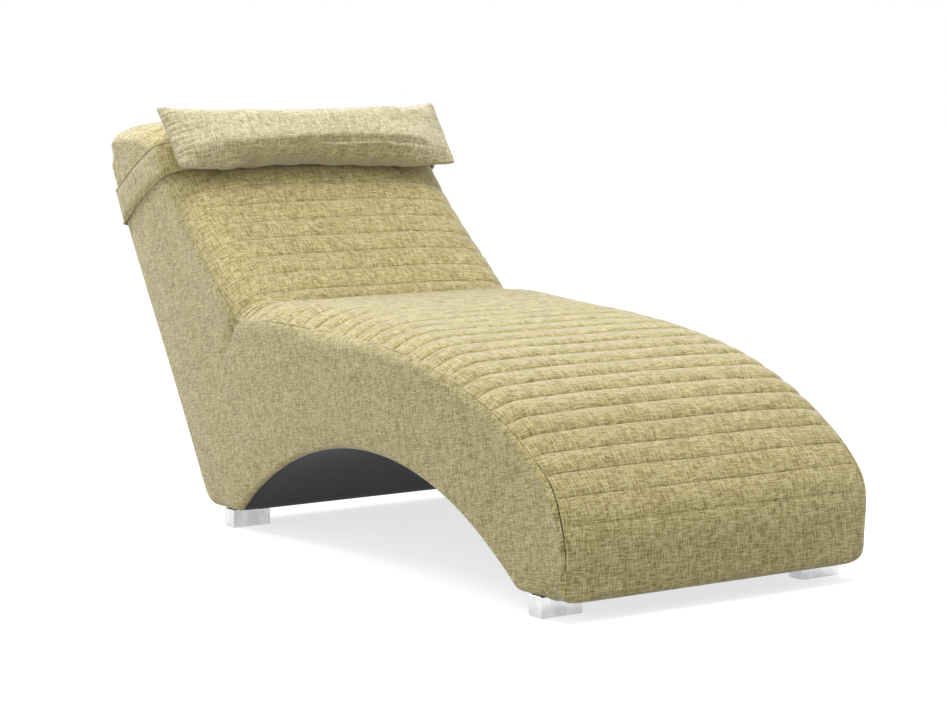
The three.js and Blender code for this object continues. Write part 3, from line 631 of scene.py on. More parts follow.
def sideCover(hand, side):
    ring = panelOutline()
    count = len(ring)
    step = np.roll(ring, -1, axis=0) - np.roll(ring, 1, axis=0)
    inward = np.stack([step[:, 1], -step[:, 0]], 1) / np.hypot(*step.T)[:, None]
    if not insidePolygon(ring[40:41] + inward[40:41] * 0.004, ring)[0]:
        inward = -inward
    places = [Vector(p) for p in panelPlaces(ring, inward)]
    found = delaunay_2d_cdt(places, [], [list(range(count))], 1, 1e-7)
    flat = np.array([tuple(v) for v in found[0]])
    faces = [list(f) for f in found[2]]
    origin = [o[0] if o else -1 for o in found[3]]
    ringAt = {o: i for i, o in enumerate(origin) if 0 <= o < count}
    first = [ringAt[k] for k in range(count)]
    x = panelReach(flat)
    # the turned-in edge and the flat inner face close the shell
    (tuckDepth, tuckIn), base = sidePanel["tuck"], len(flat)
    tuckX = x[first] - tuckIn
    backX = np.minimum(sidePanel["inner"], tuckX - sidePanel["backGap"])
    flat = np.vstack([flat, ring + inward * tuckDepth, ring + inward * sidePanel["tuckBack"]])
    points = sideways(side * np.concatenate([x, tuckX, backX]), flat)
    points[:, 2] -= sagAt(*flat.T)
    for k in range(count):
        n = (k + 1) % count
        faces.append([first[k], first[n], base + n, base + k])
        faces.append([base + k, base + n, base + count + n, base + count + k])
    faces.append([base + count + k for k in range(count)])
    tilt = math.radians(sidePanel["weaveTilt"])
    turn = np.array([[math.cos(tilt), math.sin(tilt)], [-math.sin(tilt), math.cos(tilt)]])
    return outwards(meshOf("sideCover" + hand, points, faces, flat @ turn + side * 3))


sideCovers = []
for hand, side, node in (("Left", -1, "side_cover_left"), ("Right", 1, "side_cover_right")):
    cover = sideCover(hand, side)
    finishPiece(cover, "root", "woven_fabric", node)
    sideCovers.append(cover)
    print("side cover", hand, len(cover.data.polygons))


# Rear cover, lining and base cloths

stripSet = {"rim": 0.004, "swellRun": 0.03, "roll": 0.0016, "rollRun": 0.0012}  # the edges are rolled down


def stripAlong(name, line, halfAt, thickness, columns, puff, weaveShift=0.0):
    s, route = stripSet, makeRoute(line)
    total = route["distances"][-1]
    outer, inner, wide = [], [], []
    for d in route["distances"]:
        half = float(halfAt(d))
        xs = np.linspace(-half, half, columns + 1)
        near = np.minimum(half - np.abs(xs), np.minimum(d, total - d) + s["rim"])
        swell = puff * (1 - np.exp(-near / s["swellRun"])) - s["roll"] * np.exp(-near / s["rollRun"])
        outer.append(sideways(xs, routeAt(route, d, swell)))
        inner.append(sideways(xs, routeAt(route, d, np.full(len(xs), -thickness))))
        wide.append(xs)
    rows, cols = len(outer), columns + 1
    base = rows * cols
    faces = []
    for r in range(rows - 1):
        for c in range(cols - 1):
            i = r * cols + c
            faces.append((i, i + 1, i + cols + 1, i + cols))
            faces.append((base + i, base + i + cols, base + i + cols + 1, base + i + 1))
        for c in (0, cols - 1):
            i = r * cols + c
            faces.append((i, i + cols, base + i + cols, base + i))
    for r in (0, rows - 1):
        for c in range(cols - 1):
            i = r * cols + c
            faces.append((i, base + i, base + i + 1, i + 1))
    uv = np.stack([np.concatenate(wide), np.repeat(route["distances"], cols) + weaveShift], 1)
    return outwards(meshOf(name, np.vstack(outer + inner), faces, np.vstack([uv, uv])))


rearSet = {
    "half": 0.3042, "thickness": 0.0055, "puff": 0.003, "columns": 60, "spacing": 0.005, "weaveShift": 5.0,
    "tuckUnder": 0.012, "topGap": 0.0007, "cornerGain": 0.008, "cornerRun": 0.025,
}


def rearHalf(d):  # the rear cover narrows at its top, under the rounded edge of the head
    r = rearSet
    low, b, a = (float(v) for v in (edgeAt("drop", deckEnd), cornerAt(deckEnd), edgeAt("reach", deckEnd)))
    cosine = max(0.0, low - d) / b
    gain = r["cornerGain"] * (1 - smooth(d, 0, r["cornerRun"]))
    return r["half"] + gain - a * (1 - math.sqrt(1 - cosine * cosine))


rearStop = sideView["rearFoot"][0] - sideView["rearCorner"] - rearSet["tuckUnder"]
rearEnd = int(np.argmin(np.abs(lower[:, 0] - rearStop) + (lower[:, 1] > bottom + 0.0001)))
rearShape = evenly(np.vstack([belowTop(rearSet["topGap"]), lower[1:rearEnd + 1]]), rearSet["spacing"])
rearCover = stripAlong(
    "rearCover", rearShape, rearHalf, rearSet["thickness"], rearSet["columns"], rearSet["puff"],
    rearSet["weaveShift"])
finishPiece(rearCover, "root", "woven_fabric", "rear_cover")

liningSet = {
    "from": 1.121, "to": 0.130, "half": 0.3065, "thickness": 0.0020, "sink": -0.0004,
    "columns": 40, "spacing": 0.006,
}
between = (lower[:, 0] > liningSet["to"]) & (lower[:, 0] < liningSet["from"])
underArch = np.vstack([[[liningSet["from"], bottom]], lower[between], [[liningSet["to"], bottom]]])
lining = stripAlong(
    "archLining", evenly(underArch, liningSet["spacing"]), lambda d: liningSet["half"],
    liningSet["thickness"], liningSet["columns"], liningSet["sink"])
finishPiece(lining, "root", "black_lining", "arch_lining")


# Neck band and pillow

neckSet = {
    "pastShoulder": 0.015, "angle": 49, "clearance": 0.0065, "rearClearance": 0.0036,
    "bandWidth": 0.078, "bandThickness": 0.002, "rearDrop": 0.160, "arch": 0.008,
    "sideGap": 0.0046, "turnReach": 0.1, "rearTurn": 0.010, "weaveShift": 7,
    "steps": (20, 22, 24, 8, 18),  # on the front, round the edge, on the side, round the corner, behind
}
hemProfile = [  # across the band: place from one edge (-1) to the other (1), and how far out
    (-1, 0.0008), (-0.985, 0.0040), (-0.955, 0.0046), (-0.925, 0.0034), (-0.905, 0.0010), (-0.88, 0.0019),
    (-0.4, 0.0022), (0, 0.0022), (0.4, 0.0022), (0.84, 0.0020), (0.87, 0.0011), (0.90, 0.0024),
    (0.94, 0.0028), (0.98, 0.0024), (1, 0.0006), (0.97, 0), (0.3, 0), (-0.3, 0), (-0.97, 0),
]
neckAt = shoulderAt + neckSet["pastShoulder"]
fullCrown = quilt["crown"] * math.tanh((shoulderAt - quilt["crownStart"]) / quilt["crownFade"])
cadCrown = fullCrown * (1 - (neckAt - shoulderAt) / (deckEnd - shoulderAt))
neckFace = routeAt(deck, neckAt, cadCrown)
neckUp = ahead((0, 0), neckSet["angle"], 1)
neckOut = np.array([-neckUp[1], neckUp[0]])


def bandStations(run):  # half way round the backrest: across, from the front face, outward direction
    side, reach, small = halfWidth + neckSet["sideGap"], neckSet["turnReach"], neckSet["rearTurn"]
    depth, steps = float(cornerAt(neckAt)), neckSet["steps"]
    stations = [(x, 0.0, (0.0, -1.0)) for x in np.linspace(0, side - reach, steps[0])[:-1]]
    for t in np.linspace(-math.pi / 2, 0, steps[1]):
        n = np.array([math.cos(t) / reach, math.sin(t) / depth])
        place = side - reach + reach * math.cos(t), depth + depth * math.sin(t)
        stations.append((*place, tuple(n / np.hypot(*n))))
    for q in np.linspace(depth, run - small, steps[2])[1:]:
        stations.append((side, q, (1.0, 0.0)))
    for t in np.linspace(0, math.pi / 2, steps[3])[1:]:
        c, s = math.cos(t), math.sin(t)
        stations.append((side - small + small * c, run - small + small * s, (c, s)))
    return stations + [(x, run, (0.0, 1.0)) for x in np.linspace(side - small, 0, steps[4])[1:]]


def bandMesh():
    rear = rearRoute["points"]
    height = sideView["crest"][1] - neckSet["rearDrop"]
    k = int(np.argmax(rear[:, 1] < height))
    rearUp = (rear[k - 1] - rear[k]) / np.hypot(*(rear[k - 1] - rear[k]))
    rearMiddle = rear[k] + rearUp * (height - rear[k][1]) / rearUp[1]
    rearMiddle = rearMiddle + neckSet["rearClearance"] * np.array([rearUp[1], -rearUp[0]])
    frontMiddle = neckFace + neckOut * neckSet["clearance"]
    run = np.hypot(*(rearMiddle - frontMiddle))
    along = (rearMiddle - frontMiddle) / run
    half = bandStations(run)
    full = half + [(-x, q, (-n[0], n[1])) for x, q, n in half[::-1][1:-1]]
    points, uv = [], []
    length, last = 0, full[0]
    for x, q, n in full:
        share = q / run
        up = neckUp + (rearUp - neckUp) * share
        up = up / np.hypot(*up)
        arch = up * neckSet["arch"] * math.sin(math.pi * share)
        middle = frontMiddle + (rearMiddle - frontMiddle) * share + arch
        up = up * neckSet["bandWidth"] / 2
        length += math.hypot(x - last[0], q - last[1])
        last = x, q
        for w, out in hemProfile:
            place = middle + up * w + along * n[1] * out
            points.append((x + n[0] * out, place[0] - sideView["originReach"], place[1]))
            uv.append((length, w * neckSet["bandWidth"] / 2 + neckSet["weaveShift"]))
    size, count = len(hemProfile), len(full)
    print("band length", round(length, 4))
    band = outwards(meshOf("neckBand", points, ringFaces(count, size, closed=True), uv))
    return band, length, np.array(points).reshape(count, size, 3)


neckBand, bandLength, bandGrid = bandMesh()
finishPiece(neckBand, "headrest", "woven_fabric", "neck_band")


pillowSet = {
    "width": 0.676, "height": 0.190, "cell": 0.0095, "loft": 0.006, "plainLoft": 0.045, "frames": 24,
    "fitWidth": 0.646, "fitHeight": 0.166, "fitDepth": 0.104, "fill": 0.75, "fullness": (0.42, 0.80),
    "shift": -0.0075, "taper": 0.007,  # hangs a little to the left, its top edge longer than the lower one
    "belly": 0.002, "under": 0.014, "lift": 0.013, "hang": 0.010, "fold": 0.0110, "foldWidth": 0.055,
    "gather": 0.0021, "gatherPitch": 0.0135, "gatherReach": 0.022,
    "rest": 0.040, "restSoft": 0.010, "bandGap": 0.0003, "weaveShift": (9, 0.31),
    # where across and up the cushion (-1 to 1) each of these begins, lies or ends
    "lowHalf": (-0.5, 0.4), "fullEnds": (0.6, 0.97), "bellyFrom": (-0.3, 0.9), "bellyLean": 0.25,
    "hangAt": -0.62, "hangWidth": 0.35, "foldAt": -0.60, "foldWave": (0.06, 2.6, 0.9), "foldDrop": 0.10,
    "foldMiddle": 0.12, "foldEnds": (0.15, 0.6), "gatherWave": (1.1, 19), "gatherFrom": 0.006,
    "underFrom": 0.55,
}
clothSet = {
    "quality": 6, "mass": 0.25, "tension_stiffness": 18, "compression_stiffness": 18,
    "shear_stiffness": 8, "bending_stiffness": 1.2, "use_pressure": True, "uniform_pressure_force": 5.0,
}


def pillowFlat():  # two layers of cloth joined round the rim
    p = pillowSet
    nx, ny = int(round(p["width"] / p["cell"])), int(round(p["height"] / p["cell"]))
    points, uv, faces, index = [], [], [], {}

    def keyOf(i, j, layer):
        return i, j, 0 if i in (0, nx) or j in (0, ny) else layer

    for layer in (0, 1):
        for j in range(ny + 1):
            for i in range(nx + 1):
                key = keyOf(i, j, layer)
                if key in index:
                    continue
                index[key] = len(points)
                u, v = 2 * i / nx - 1, 2 * j / ny - 1
                rise = (1 - 2 * layer) * p["loft"] * (1 - u ** 6) * (1 - v ** 4)
                x, y = u * p["width"] / 2, v * p["height"] / 2
                points.append((x, y, rise + 0.0008 * math.sin(i * 1.9 + j * 0.7)))
                uv.append((x + p["weaveShift"][0], y + layer * p["weaveShift"][1]))
    for layer in (0, 1):
        for j in range(ny):
            for i in range(nx):
                corners = ((i, j), (i + 1, j), (i + 1, j + 1), (i, j + 1))
                quad = [index[keyOf(a, b, layer)] for a, b in corners]
                faces.append(quad if layer == 0 else quad[::-1])
    return meshOf("neckPillow", points, faces, uv)


def inflate(piece):
    cloth = piece.modifiers.new("Cloth", "CLOTH")
    for name, value in clothSet.items():
        setattr(cloth.settings, name, value)
    cloth.settings.effector_weights.gravity = 0
    cloth.point_cache.frame_start = 1
    cloth.point_cache.frame_end = pillowSet["frames"]
    for number in range(1, pillowSet["frames"] + 1):
        bpy.context.scene.frame_set(number)
    bake(piece)
    bpy.context.scene.frame_set(1)


def shapePillow(co):  # the filling hangs low, under a long soft fold, and the short ends are gathered
    p = pillowSet
    u, v = co[:, 0] / (p["fitWidth"] / 2), co[:, 1] / (p["fitHeight"] / 2)
    front, deepest = smooth(co[:, 2], 0.0, 0.02), p["fitDepth"] / 2
    low, high = p["fullness"]  # the lower half is rounder, the upper half leaner
    power = high - (high - low) * (1 - smooth(v, *p["lowHalf"])) * (1 - smooth(np.abs(u), *p["fullEnds"]))
    co[:, 2] = np.sign(co[:, 2]) * deepest * (np.abs(co[:, 2]) / deepest) ** power
    co[:, 1] += p["lift"] * np.maximum(-u, 0) ** 2 * smooth(-v, -1, 1)
    co[:, 0] += p["shift"] + p["taper"] * np.maximum(u, 0) * v
    co[:, 1] -= p["belly"] * (1 - u ** 4) * (1 + p["bellyLean"] * u) * smooth(-v, *p["bellyFrom"])
    co[:, 2] += p["hang"] * front * (1 - u * u) * np.exp(-((v - p["hangAt"]) / p["hangWidth"]) ** 2)
    size, turns, phase = p["foldWave"]
    line = p["foldAt"] + size * np.sin(turns * u + phase) - p["foldDrop"] * u * u
    atFold = np.exp(-((v - line) / p["foldWidth"]) ** 2)
    creased = smooth(1 - np.abs(u - p["foldMiddle"]), *p["foldEnds"]) * atFold
    co[:, 2] -= p["fold"] * front * creased
    toEnd = (1 - np.abs(u)) * p["fitWidth"] / 2
    size, turns = p["gatherWave"]
    ripple = np.sin(co[:, 1] * 2 * math.pi / p["gatherPitch"] + size * np.sin(turns * v) + np.sign(u))
    ripple = ripple * np.exp(-toEnd / p["gatherReach"]) * smooth(toEnd, 0.0, p["gatherFrom"])
    co[:, 2] += p["gather"] * ripple * np.sign(co[:, 2])
    co[:, 2] -= p["under"] * smooth(-v, p["underFrom"], 1.0) * (1 - u ** 4)
    # its back is pressed flat where it rests
    soft = p["restSoft"]
    floor = soft - p["rest"]
    pressed = floor - soft * np.tanh((floor - co[:, 2]) / soft)
    co[:, 2] = np.where(co[:, 2] < floor, pressed, co[:, 2])
    return co


def placePillow(piece):
    p, n = pillowSet, neckSet
    co = np.array([v.co for v in piece.data.vertices])
    low, high = co.min(0), co.max(0)
    print("pillow before fitting", np.round(high - low, 4))
    fit = np.array([p["fitWidth"], p["fitHeight"], p["fitDepth"]])
    co = shapePillow((co - (low + high) / 2) * fit / (high - low))
    middle = neckFace + neckOut * (n["clearance"] + n["bandThickness"] + p["bandGap"] + p["rest"])
    placed = sideways(co[:, 0], middle + co[:, 1:2] * neckUp + co[:, 2:3] * neckOut)
    piece.data.vertices.foreach_set("co", placed.astype(np.float32).ravel())
    piece.data.update()


neckPillow = pillowFlat()
inflate(neckPillow)
subdivide = neckPillow.modifiers.new("Subdivide", "SUBSURF")
subdivide.levels = subdivide.render_levels = 2
bake(neckPillow)
placePillow(neckPillow)
outwards(neckPillow)
finishPiece(neckPillow, "headrest", "woven_fabric", "neck_pillow")
print("pillow", len(neckPillow.data.polygons))


# Stitches

stitchSet = {
    "pitch": 0.008, "length": 0.0052, "thick": 0.0009, "edge": 0.012, "least": 0.88, "most": 1.1,
    "hems": (3, 10), "seed": 7, "rim": (2, -6), "proud": 0.0001,
}


def stitchGroup():  # one stitch on every point, lying along "run" with its back to "lift"
    tree = bpy.data.node_groups.new("stitchRow", "GeometryNodeTree")
    sockets = {"Points": "Geometry", "Stitch Length": "Float", "Stitch Thickness": "Float", "Seed": "Int"}
    for title, kind in {**sockets, "Thread": "Material"}.items():
        tree.interface.new_socket(name=title, in_out="INPUT", socket_type="NodeSocket" + kind)
    tree.interface.new_socket(name="Stitches", in_out="OUTPUT", socket_type="NodeSocketGeometry")
    given = tree.nodes.new("NodeGroupInput").outputs
    thick = given["Stitch Thickness"]
    size = addNode(tree, "ShaderNodeCombineXYZ", {0: given["Stitch Length"], 1: thick, 2: thick})
    bead = addNode(tree, "GeometryNodeMeshUVSphere", {"Segments": 6, "Rings": 4, "Radius": 0.5})
    run, lift = (
        addNode(tree, "GeometryNodeInputNamedAttribute", {"Name": title}, data_type="FLOAT_VECTOR").outputs[0]
        for title in ("run", "lift")
    )
    along = addNode(tree, "FunctionNodeAlignRotationToVector", {"Vector": run}, axis="X")
    turned = addNode(
        tree, "FunctionNodeAlignRotationToVector", {"Rotation": along.outputs[0], "Vector": lift},
        axis="Z", pivot_axis="X")
    uneven = addNode(
        tree, "FunctionNodeRandomValue",
        {2: stitchSet["least"], 3: stitchSet["most"], "Seed": given["Seed"]}, data_type="FLOAT")
    scale = addNode(
        tree, "ShaderNodeVectorMath", {0: size.outputs[0], "Scale": uneven.outputs[1]}, operation="SCALE")
    points = addNode(tree, "GeometryNodeMeshToPoints", {0: given["Points"]})
    placed = addNode(tree, "GeometryNodeInstanceOnPoints", {
        "Points": points.outputs[0], "Instance": bead.outputs[0],
        "Rotation": turned.outputs[0], "Scale": scale.outputs[0]})
    real = addNode(tree, "GeometryNodeRealizeInstances", {0: placed.outputs[0]})
    sewn = addNode(
        tree, "GeometryNodeSetMaterial", {"Geometry": real.outputs[0], "Material": given["Thread"]})
    tree.links.new(sewn.outputs[0], tree.nodes.new("NodeGroupOutput").inputs[0])
    return tree


def stitchesAlong(line, side):  # points, directions and lifts along one row; side lies across the row
    run = np.concatenate([[0], np.cumsum(np.linalg.norm(np.diff(line, axis=0), axis=1))])
    at = np.arange(stitchSet["edge"], run[-1] - stitchSet["edge"], stitchSet["pitch"])
    places, ways, sides = (pick(at, run, values) for values in (line, np.gradient(line, run, axis=0), side))
    lift = np.cross(ways, sides)
    lift = lift / np.linalg.norm(lift, axis=1)[:, None]
    return places + lift * stitchSet["proud"], ways, lift


def sewRows(name, rows, threadWithPaintedShade):
    points, ways, lifts = (np.vstack(part) for part in zip(*rows))
    piece = meshOf(name, points, [])
    for title, values in (("run", ways), ("lift", lifts)):
        data = piece.data.attributes.new(title, "FLOAT_VECTOR", "POINT").data
        data.foreach_set("vector", values.astype(np.float32).ravel())
    group = stitchGroup()
    modifier = piece.modifiers.new("Stitches", "NODES")
    modifier.node_group = group
    s = stitchSet
    values = {
        "Stitch Length": s["length"], "Stitch Thickness": s["thick"], "Seed": s["seed"], "Thread": threadWithPaintedShade}
    for socket in group.interface.items_tree:
        if socket.in_out == "INPUT" and socket.name in values:
            modifier[socket.identifier] = values[socket.name]
    bake(piece)
    piece.data.polygons.foreach_set("use_smooth", np.ones(len(piece.data.polygons), bool))
    print(name, len(points), "stitches")
    return piece


def valleyRows(grid, rows, valleys):  # a row of stitches in every channel
    start, stop = stitchSet["rim"]
    found = []
    for k in range(1, len(rows) - 1):
        if any(abs(rows[k][0] - v) < 1e-6 for v in valleys):
            found.append(stitchesAlong(grid[k, start:stop], (grid[k + 1] - grid[k - 1])[start:stop]))
    return found


def hemRows(column):
    line = np.vstack([bandGrid[:, column], bandGrid[:1, column]])
    across = bandGrid[:, column - 1] - bandGrid[:, column + 1]
    return stitchesAlong(line, np.vstack([across, across[:1]]))


# Feet

footSet = {"edge": 0.0011, "steps": 3}


def footPiece(name, node):
    low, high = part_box(node)
    work = bmesh.new()
    bmesh.ops.create_cube(work, size=1)
    for v in work.verts:
        v.co = Vector([(low[k] + high[k]) / 2 + v.co[k] * (high[k] - low[k]) for k in range(3)])
    bmesh.ops.bevel(
        work, geom=list(work.edges), offset=footSet["edge"], segments=footSet["steps"],
        profile=0.5, affect="EDGES")
    mesh = bpy.data.meshes.new(name)
    work.to_mesh(mesh)
    work.free()
    return outwards(inScene(bpy.data.objects.new(name, mesh)))


feet = []
for place in ("front", "rear"):
    for hand in ("left", "right"):
        node = f"{place}_foot_{hand}"
        foot = footPiece(place + "Foot" + hand.capitalize(), node)
        feet.append(finishPiece(foot, "root", "polished_feet", node))


# Materials

fabricSet = {
    "dark": "#7c6e3f", "mid": "#ada069", "light": "#d5ca9c", "toneRange": (0.36, 1.18),
    "yarn": 0.0012, "crossing": 0.0024,  # yarn thickness, and the spacing at which they cross
    "slub": 0.0010, "slubRun": 0.012,  # size of the fluff, and how long a yarn keeps its tone
    "bothYarns": 0.33, "topYarn": 0.34, "fluff": 0.42, "cloud": 0.04, "crossed": 0.12,  # shares of the tone
    "wobble": 0.0022, "wobbleScale": 22.0, "cloudScale": 9.0,
    "sheen": 1.0, "sheenRoughness": 0.34, "sheenTint": "#fdfbf4", "roughness": 0.8, "specular": 0.2,
    "bump": 0.0009, "bumpStrength": 0.7,
}
# the pillow is the same fabric as the covers, given paler colours: painted light, standing in for the
# brighter sheen and light that fall on it
paintedLightPillowFabric = dict(fabricSet, dark="#93875f", mid="#b9af88", light="#dfd8b8")


def emptyTree(owner):
    owner.use_nodes = True
    owner.node_tree.nodes.clear()
    return owner.node_tree


def newMaterial(name):
    material = bpy.data.materials.new(name)
    tree = emptyTree(material)
    out = tree.nodes.new("ShaderNodeOutputMaterial")
    shader = addNode(tree, "ShaderNodeBsdfPrincipled")
    tree.links.new(shader.outputs[0], out.inputs[0])
    return material, tree, shader


def calc(tree, operation, *values):  # the result of one math node
    return addNode(tree, "ShaderNodeMath", dict(enumerate(values)), operation=operation).outputs[0]


def vectorSum(tree, a, b, scale):  # a + b * scale
    scaled = addNode(tree, "ShaderNodeVectorMath", {0: b, "Scale": scale}, operation="SCALE")
    return addNode(tree, "ShaderNodeVectorMath", {0: a, 1: scaled.outputs[0]}, operation="ADD").outputs[0]


def noiseAt(tree, place, scale, detail):
    return addNode(tree, "ShaderNodeTexNoise", {"Vector": place, "Scale": scale, "Detail": detail}).outputs


def colourOver(tree, shader, value, least, most, *colours):  # colours spread evenly over a value's range
    share = addNode(tree, "ShaderNodeMapRange", {"Value": value, "From Min": least, "From Max": most})
    ramp = addNode(tree, "ShaderNodeValToRGB", {"Fac": share.outputs[0]})
    stops = ramp.color_ramp.elements
    stops[0].color, stops[1].color = linear(colours[0]), linear(colours[-1])
    for k, colour in enumerate(colours[1:-1], 1):
        stops.new(k / (len(colours) - 1)).color = linear(colour)
    tree.links.new(ramp.outputs[0], shader.inputs["Base Color"])


def bumpFrom(tree, shader, height, strength, distance):
    bump = addNode(tree, "ShaderNodeBump", {"Height": height, "Strength": strength, "Distance": distance})
    tree.links.new(bump.outputs[0], shader.inputs["Normal"])


def linenWeave(name, f):  # slub linen look: matt, thin light yarns both ways, whitish at a grazing look
    material, tree, shader = newMaterial(name)
    weave = addNode(tree, "ShaderNodeUVMap", uv_map="Weave").outputs[0]
    place = vectorSum(tree, weave, noiseAt(tree, weave, f["wobbleScale"], 0.0)["Color"], f["wobble"])
    # each yarn is a lane of its own tone, which changes after a while along it
    parts = addNode(tree, "ShaderNodeSeparateXYZ", {0: place}).outputs
    yarns, waves = [], []
    for over, down in ((parts["X"], parts["Y"]), (parts["Y"], parts["X"])):
        number = calc(tree, "FLOOR", calc(tree, "MULTIPLY", over, 1 / f["yarn"]))
        start = addNode(tree, "ShaderNodeTexWhiteNoise", {"W": number}, noise_dimensions="1D")
        offset = calc(tree, "MULTIPLY", start.outputs["Value"], 9.0)
        step = calc(tree, "FLOOR", calc(tree, "MULTIPLY_ADD", down, 1 / f["slubRun"], offset))
        pair = addNode(tree, "ShaderNodeCombineXYZ", {0: number, 1: step}).outputs[0]
        tone = addNode(tree, "ShaderNodeTexWhiteNoise", {"Vector": pair}, noise_dimensions="2D")
        yarns.append(tone.outputs["Value"])
        waves.append(calc(tree, "SINE", calc(tree, "MULTIPLY", over, math.pi / f["crossing"])))
    mixed = calc(tree, "MULTIPLY", calc(tree, "ADD", *yarns), f["bothYarns"])
    for part, share in (
        (calc(tree, "MAXIMUM", *yarns), f["topYarn"]),
        (noiseAt(tree, weave, 1 / f["slub"], 0.0)["Fac"], f["fluff"]),
        (noiseAt(tree, weave, f["cloudScale"], 1.0)["Fac"], f["cloud"]),
        (calc(tree, "MULTIPLY", *waves), f["crossed"]),
    ):
        mixed = calc(tree, "MULTIPLY_ADD", part, share, mixed)
    colourOver(tree, shader, mixed, *f["toneRange"], f["dark"], f["mid"], f["light"])
    for socket, value in (
        ("Roughness", f["roughness"]), ("Specular IOR Level", f["specular"]), ("Sheen Weight", f["sheen"]),
        ("Sheen Roughness", f["sheenRoughness"]), ("Sheen Tint", linear(f["sheenTint"])),
    ):
        shader.inputs[socket].default_value = value
    bumpFrom(tree, shader, mixed, f["bumpStrength"], f["bump"])
    return material


def plainMaterial(name, dark, light, roughness, metallic, scale, bump):
    material, tree, shader = newMaterial(name)
    coord = addNode(tree, "ShaderNodeTexCoord")
    turned = addNode(tree, "ShaderNodeMapping", {"Vector": coord.outputs["Object"], "Scale": scale})
    noise = noiseAt(tree, turned.outputs[0], 1.0, 4.0)["Fac"]
    colourOver(tree, shader, noise, 0.35, 0.65, dark, light)
    ends = {"To Min": roughness * 0.85, "To Max": min(1, roughness * 1.15)}
    rough = addNode(tree, "ShaderNodeMapRange", {"Value": noise, **ends})
    tree.links.new(rough.outputs[0], shader.inputs["Roughness"])
    shader.inputs["Metallic"].default_value = metallic
    if bump:
        bumpFrom(tree, shader, noise, 0.6, bump)
    return material


# Dark and light colour, roughness, metallic, pattern scale, bump in metres
plainSet = {
    # the thread's darker tone is partly its own colour and partly painted shade of the channel valleys it
    # lies in
    "spunPolyesterThreadPaintedShade": ("#5f5228", "#84763f", 0.95, 0.0, (700, 700, 700), 0.0),  # matt, a darker tone
    "blackPolyesterLining": ("#0e0e10", "#1f1e20", 0.7, 0.0, (90, 900, 90), 0.0002),  # dull black, fine ribs
    "polishedChromeSteel": ("#c9cbcc", "#dedfe0", 0.12, 1.0, (40, 40, 40), 0.00002),  # near mirror
    "beechPlywood": ("#a8835a", "#cda97c", 0.65, 0.0, (8, 60, 400), 0.0002),  # warm, long grain
    "polyurethaneFoam": ("#d8d0a8", "#efe8c8", 0.95, 0.0, (900, 900, 900), 0.0002),  # pale, fine pores
    "elasticWebbing": ("#38342f", "#5a5348", 0.85, 0.0, (1200, 300, 300), 0.0002),  # ribbed dark tape
    "pressedHardboard": ("#6f5138", "#8b6a4b", 0.8, 0.0, (500, 500, 500), 0.0002),  # brown, flecked
    "zincPlatedSteel": ("#9a9d9f", "#b6b9ba", 0.35, 1.0, (300, 300, 300), 0.0002),  # soft grey shine
}
plain = {name: plainMaterial(name, *values) for name, values in plainSet.items()}
linen = linenWeave("slubWovenLinen", fabricSet)
paintedLightPillowLinen = linenWeave("slubWovenLinenPaintedLightPillow", paintedLightPillowFabric)
chosen = [(piece, linen) for piece in (seatCover, backCover, *sideCovers, rearCover, neckBand)]
chosen += [(foot, plain["polishedChromeSteel"]) for foot in feet]
chosen += [(neckPillow, paintedLightPillowLinen), (lining, plain["blackPolyesterLining"])]

threadWithPaintedShade = plain["spunPolyesterThreadPaintedShade"]
channels = valleyRows(seatGrid, seatRows, seatValleys[1:-1]) + valleyRows(backGrid, backRows, backValleys[1:])
finishPiece(sewRows("quiltStitches", channels, threadWithPaintedShade), "root", "woven_fabric")
hems = [hemRows(column) for column in stitchSet["hems"]]
finishPiece(sewRows("hemStitches", hems, threadWithPaintedShade), "headrest", "woven_fabric")

insideSet = {  # the first word found in a solid's name says what it is made of
    "rear_board": "pressedHardboard", "arch_board": "pressedHardboard", "base_cloth": "blackPolyesterLining",
    "board": "beechPlywood", "rail": "beechPlywood", "batten": "beechPlywood", "foam": "polyurethaneFoam",
    "webbing": "elasticWebbing", "stud": "zincPlatedSteel", "nut": "zincPlatedSteel",
}
for name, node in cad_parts.items():
    found = [kind for word, kind in insideSet.items() if word in name]
    if found:
        chosen.append((node, plain[found[0]]))
    elif not node.hide_render:
        print("no material for", name)
for piece, material in chosen:
    piece.data.materials.clear()
    piece.data.materials.append(material)


# Camera, floor, light

view = {
    "place": (-2.55315, -4.02458, 0.84129), "yaw": 0.5746222, "pitch": 0.1040569, "roll": -0.0122007,
    "lens": 95.53, "sensor": 36,
}


def addCamera():
    v = view
    data = bpy.data.cameras.new("photoView")
    data.lens, data.sensor_width = v["lens"], v["sensor"]
    data.clip_start, data.clip_end = 0.1, 100
    camera = inScene(bpy.data.objects.new("photoView", data))
    turns = ((-v["yaw"], "Z"), (math.pi / 2 - v["pitch"], "X"), (v["roll"], "Z"))
    turn = Matrix.Identity(4)
    for angle, axis in turns:
        turn = turn @ Matrix.Rotation(angle, 4, axis)
    camera.matrix_world = Matrix.Translation(v["place"]) @ turn
    bpy.context.scene.camera = camera


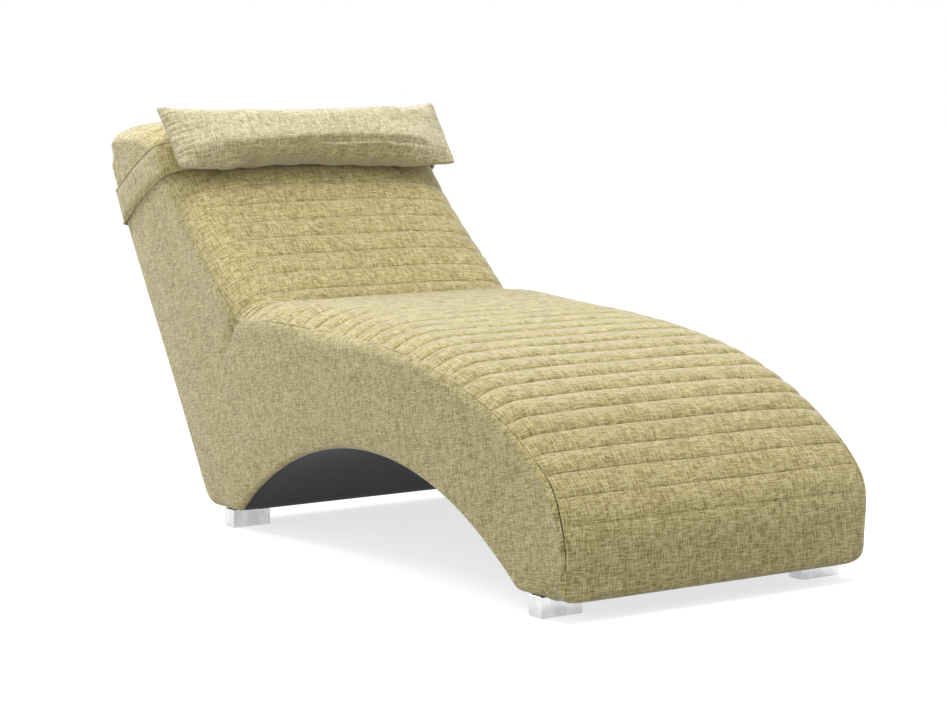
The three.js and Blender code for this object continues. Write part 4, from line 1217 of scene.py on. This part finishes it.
lightSet = {
    "key": {"energy": 88, "size": 1.8, "place": (-0.8, 2.3, 2.6), "aim": (0, 0, 0.3)},
    "front": {"energy": 88, "size": 2.0, "place": (0.5, -0.9, 3.7), "aim": (0, 0, 0.4)},
    "side": {"energy": 18, "size": 3.0, "place": (-4.2, -0.8, 2.2), "aim": (0, 0, 0.3)},
    "sky": 0.64, "floorColour": "#bababa", "floorLift": 0.72, "floorHalf": 30,
}


def addLamp(name, energy, size, place, aim):
    data = bpy.data.lights.new(name, "AREA")
    data.energy, data.size = energy, size
    lamp = inScene(bpy.data.objects.new(name, data))
    turn = (Vector(aim) - Vector(place)).to_track_quat("-Z", "Y").to_matrix().to_4x4()
    lamp.matrix_world = Matrix.Translation(place) @ turn


def seenDirectly(tree):  # 1 for camera, glossy and transmission rays
    path = addNode(tree, "ShaderNodeLightPath").outputs
    first = calc(tree, "MAXIMUM", path["Is Camera Ray"], path["Is Glossy Ray"])
    return calc(tree, "MAXIMUM", first, path["Is Transmission Ray"])


def addStage():
    world = bpy.data.worlds.new("studio")
    bpy.context.scene.world = world
    tree = emptyTree(world)
    ends = {"To Min": lightSet["sky"], "To Max": 1.0}
    strength = addNode(tree, "ShaderNodeMapRange", {"Value": seenDirectly(tree), **ends}).outputs[0]
    back = addNode(tree, "ShaderNodeBackground", {"Color": (1, 1, 1, 1), "Strength": strength})
    tree.links.new(back.outputs[0], addNode(tree, "ShaderNodeOutputWorld").inputs[0])
    w = lightSet["floorHalf"]
    floor = meshOf("floor", [(-w, -w, 0), (w, -w, 0), (w, w, 0), (-w, w, 0)], [(0, 1, 2, 3)])
    material = bpy.data.materials.new("paperSweep")  # matt pale paper, lifted to white where seen
    tree = emptyTree(material)
    diffuse = addNode(tree, "ShaderNodeBsdfDiffuse", {"Color": linear(lightSet["floorColour"])})
    lift = calc(tree, "MULTIPLY", seenDirectly(tree), lightSet["floorLift"])
    glow = addNode(tree, "ShaderNodeEmission", {"Color": (1, 1, 1, 1), "Strength": lift})
    joined = addNode(tree, "ShaderNodeAddShader", {0: diffuse.outputs[0], 1: glow.outputs[0]})
    tree.links.new(joined.outputs[0], addNode(tree, "ShaderNodeOutputMaterial").inputs[0])
    floor.data.materials.append(material)


addCamera()
addStage()
for name in ("key", "front", "side"):
    addLamp(name + "Light", **lightSet[name])
bpy.context.scene.view_settings.view_transform = "Standard"

print("scene ready")
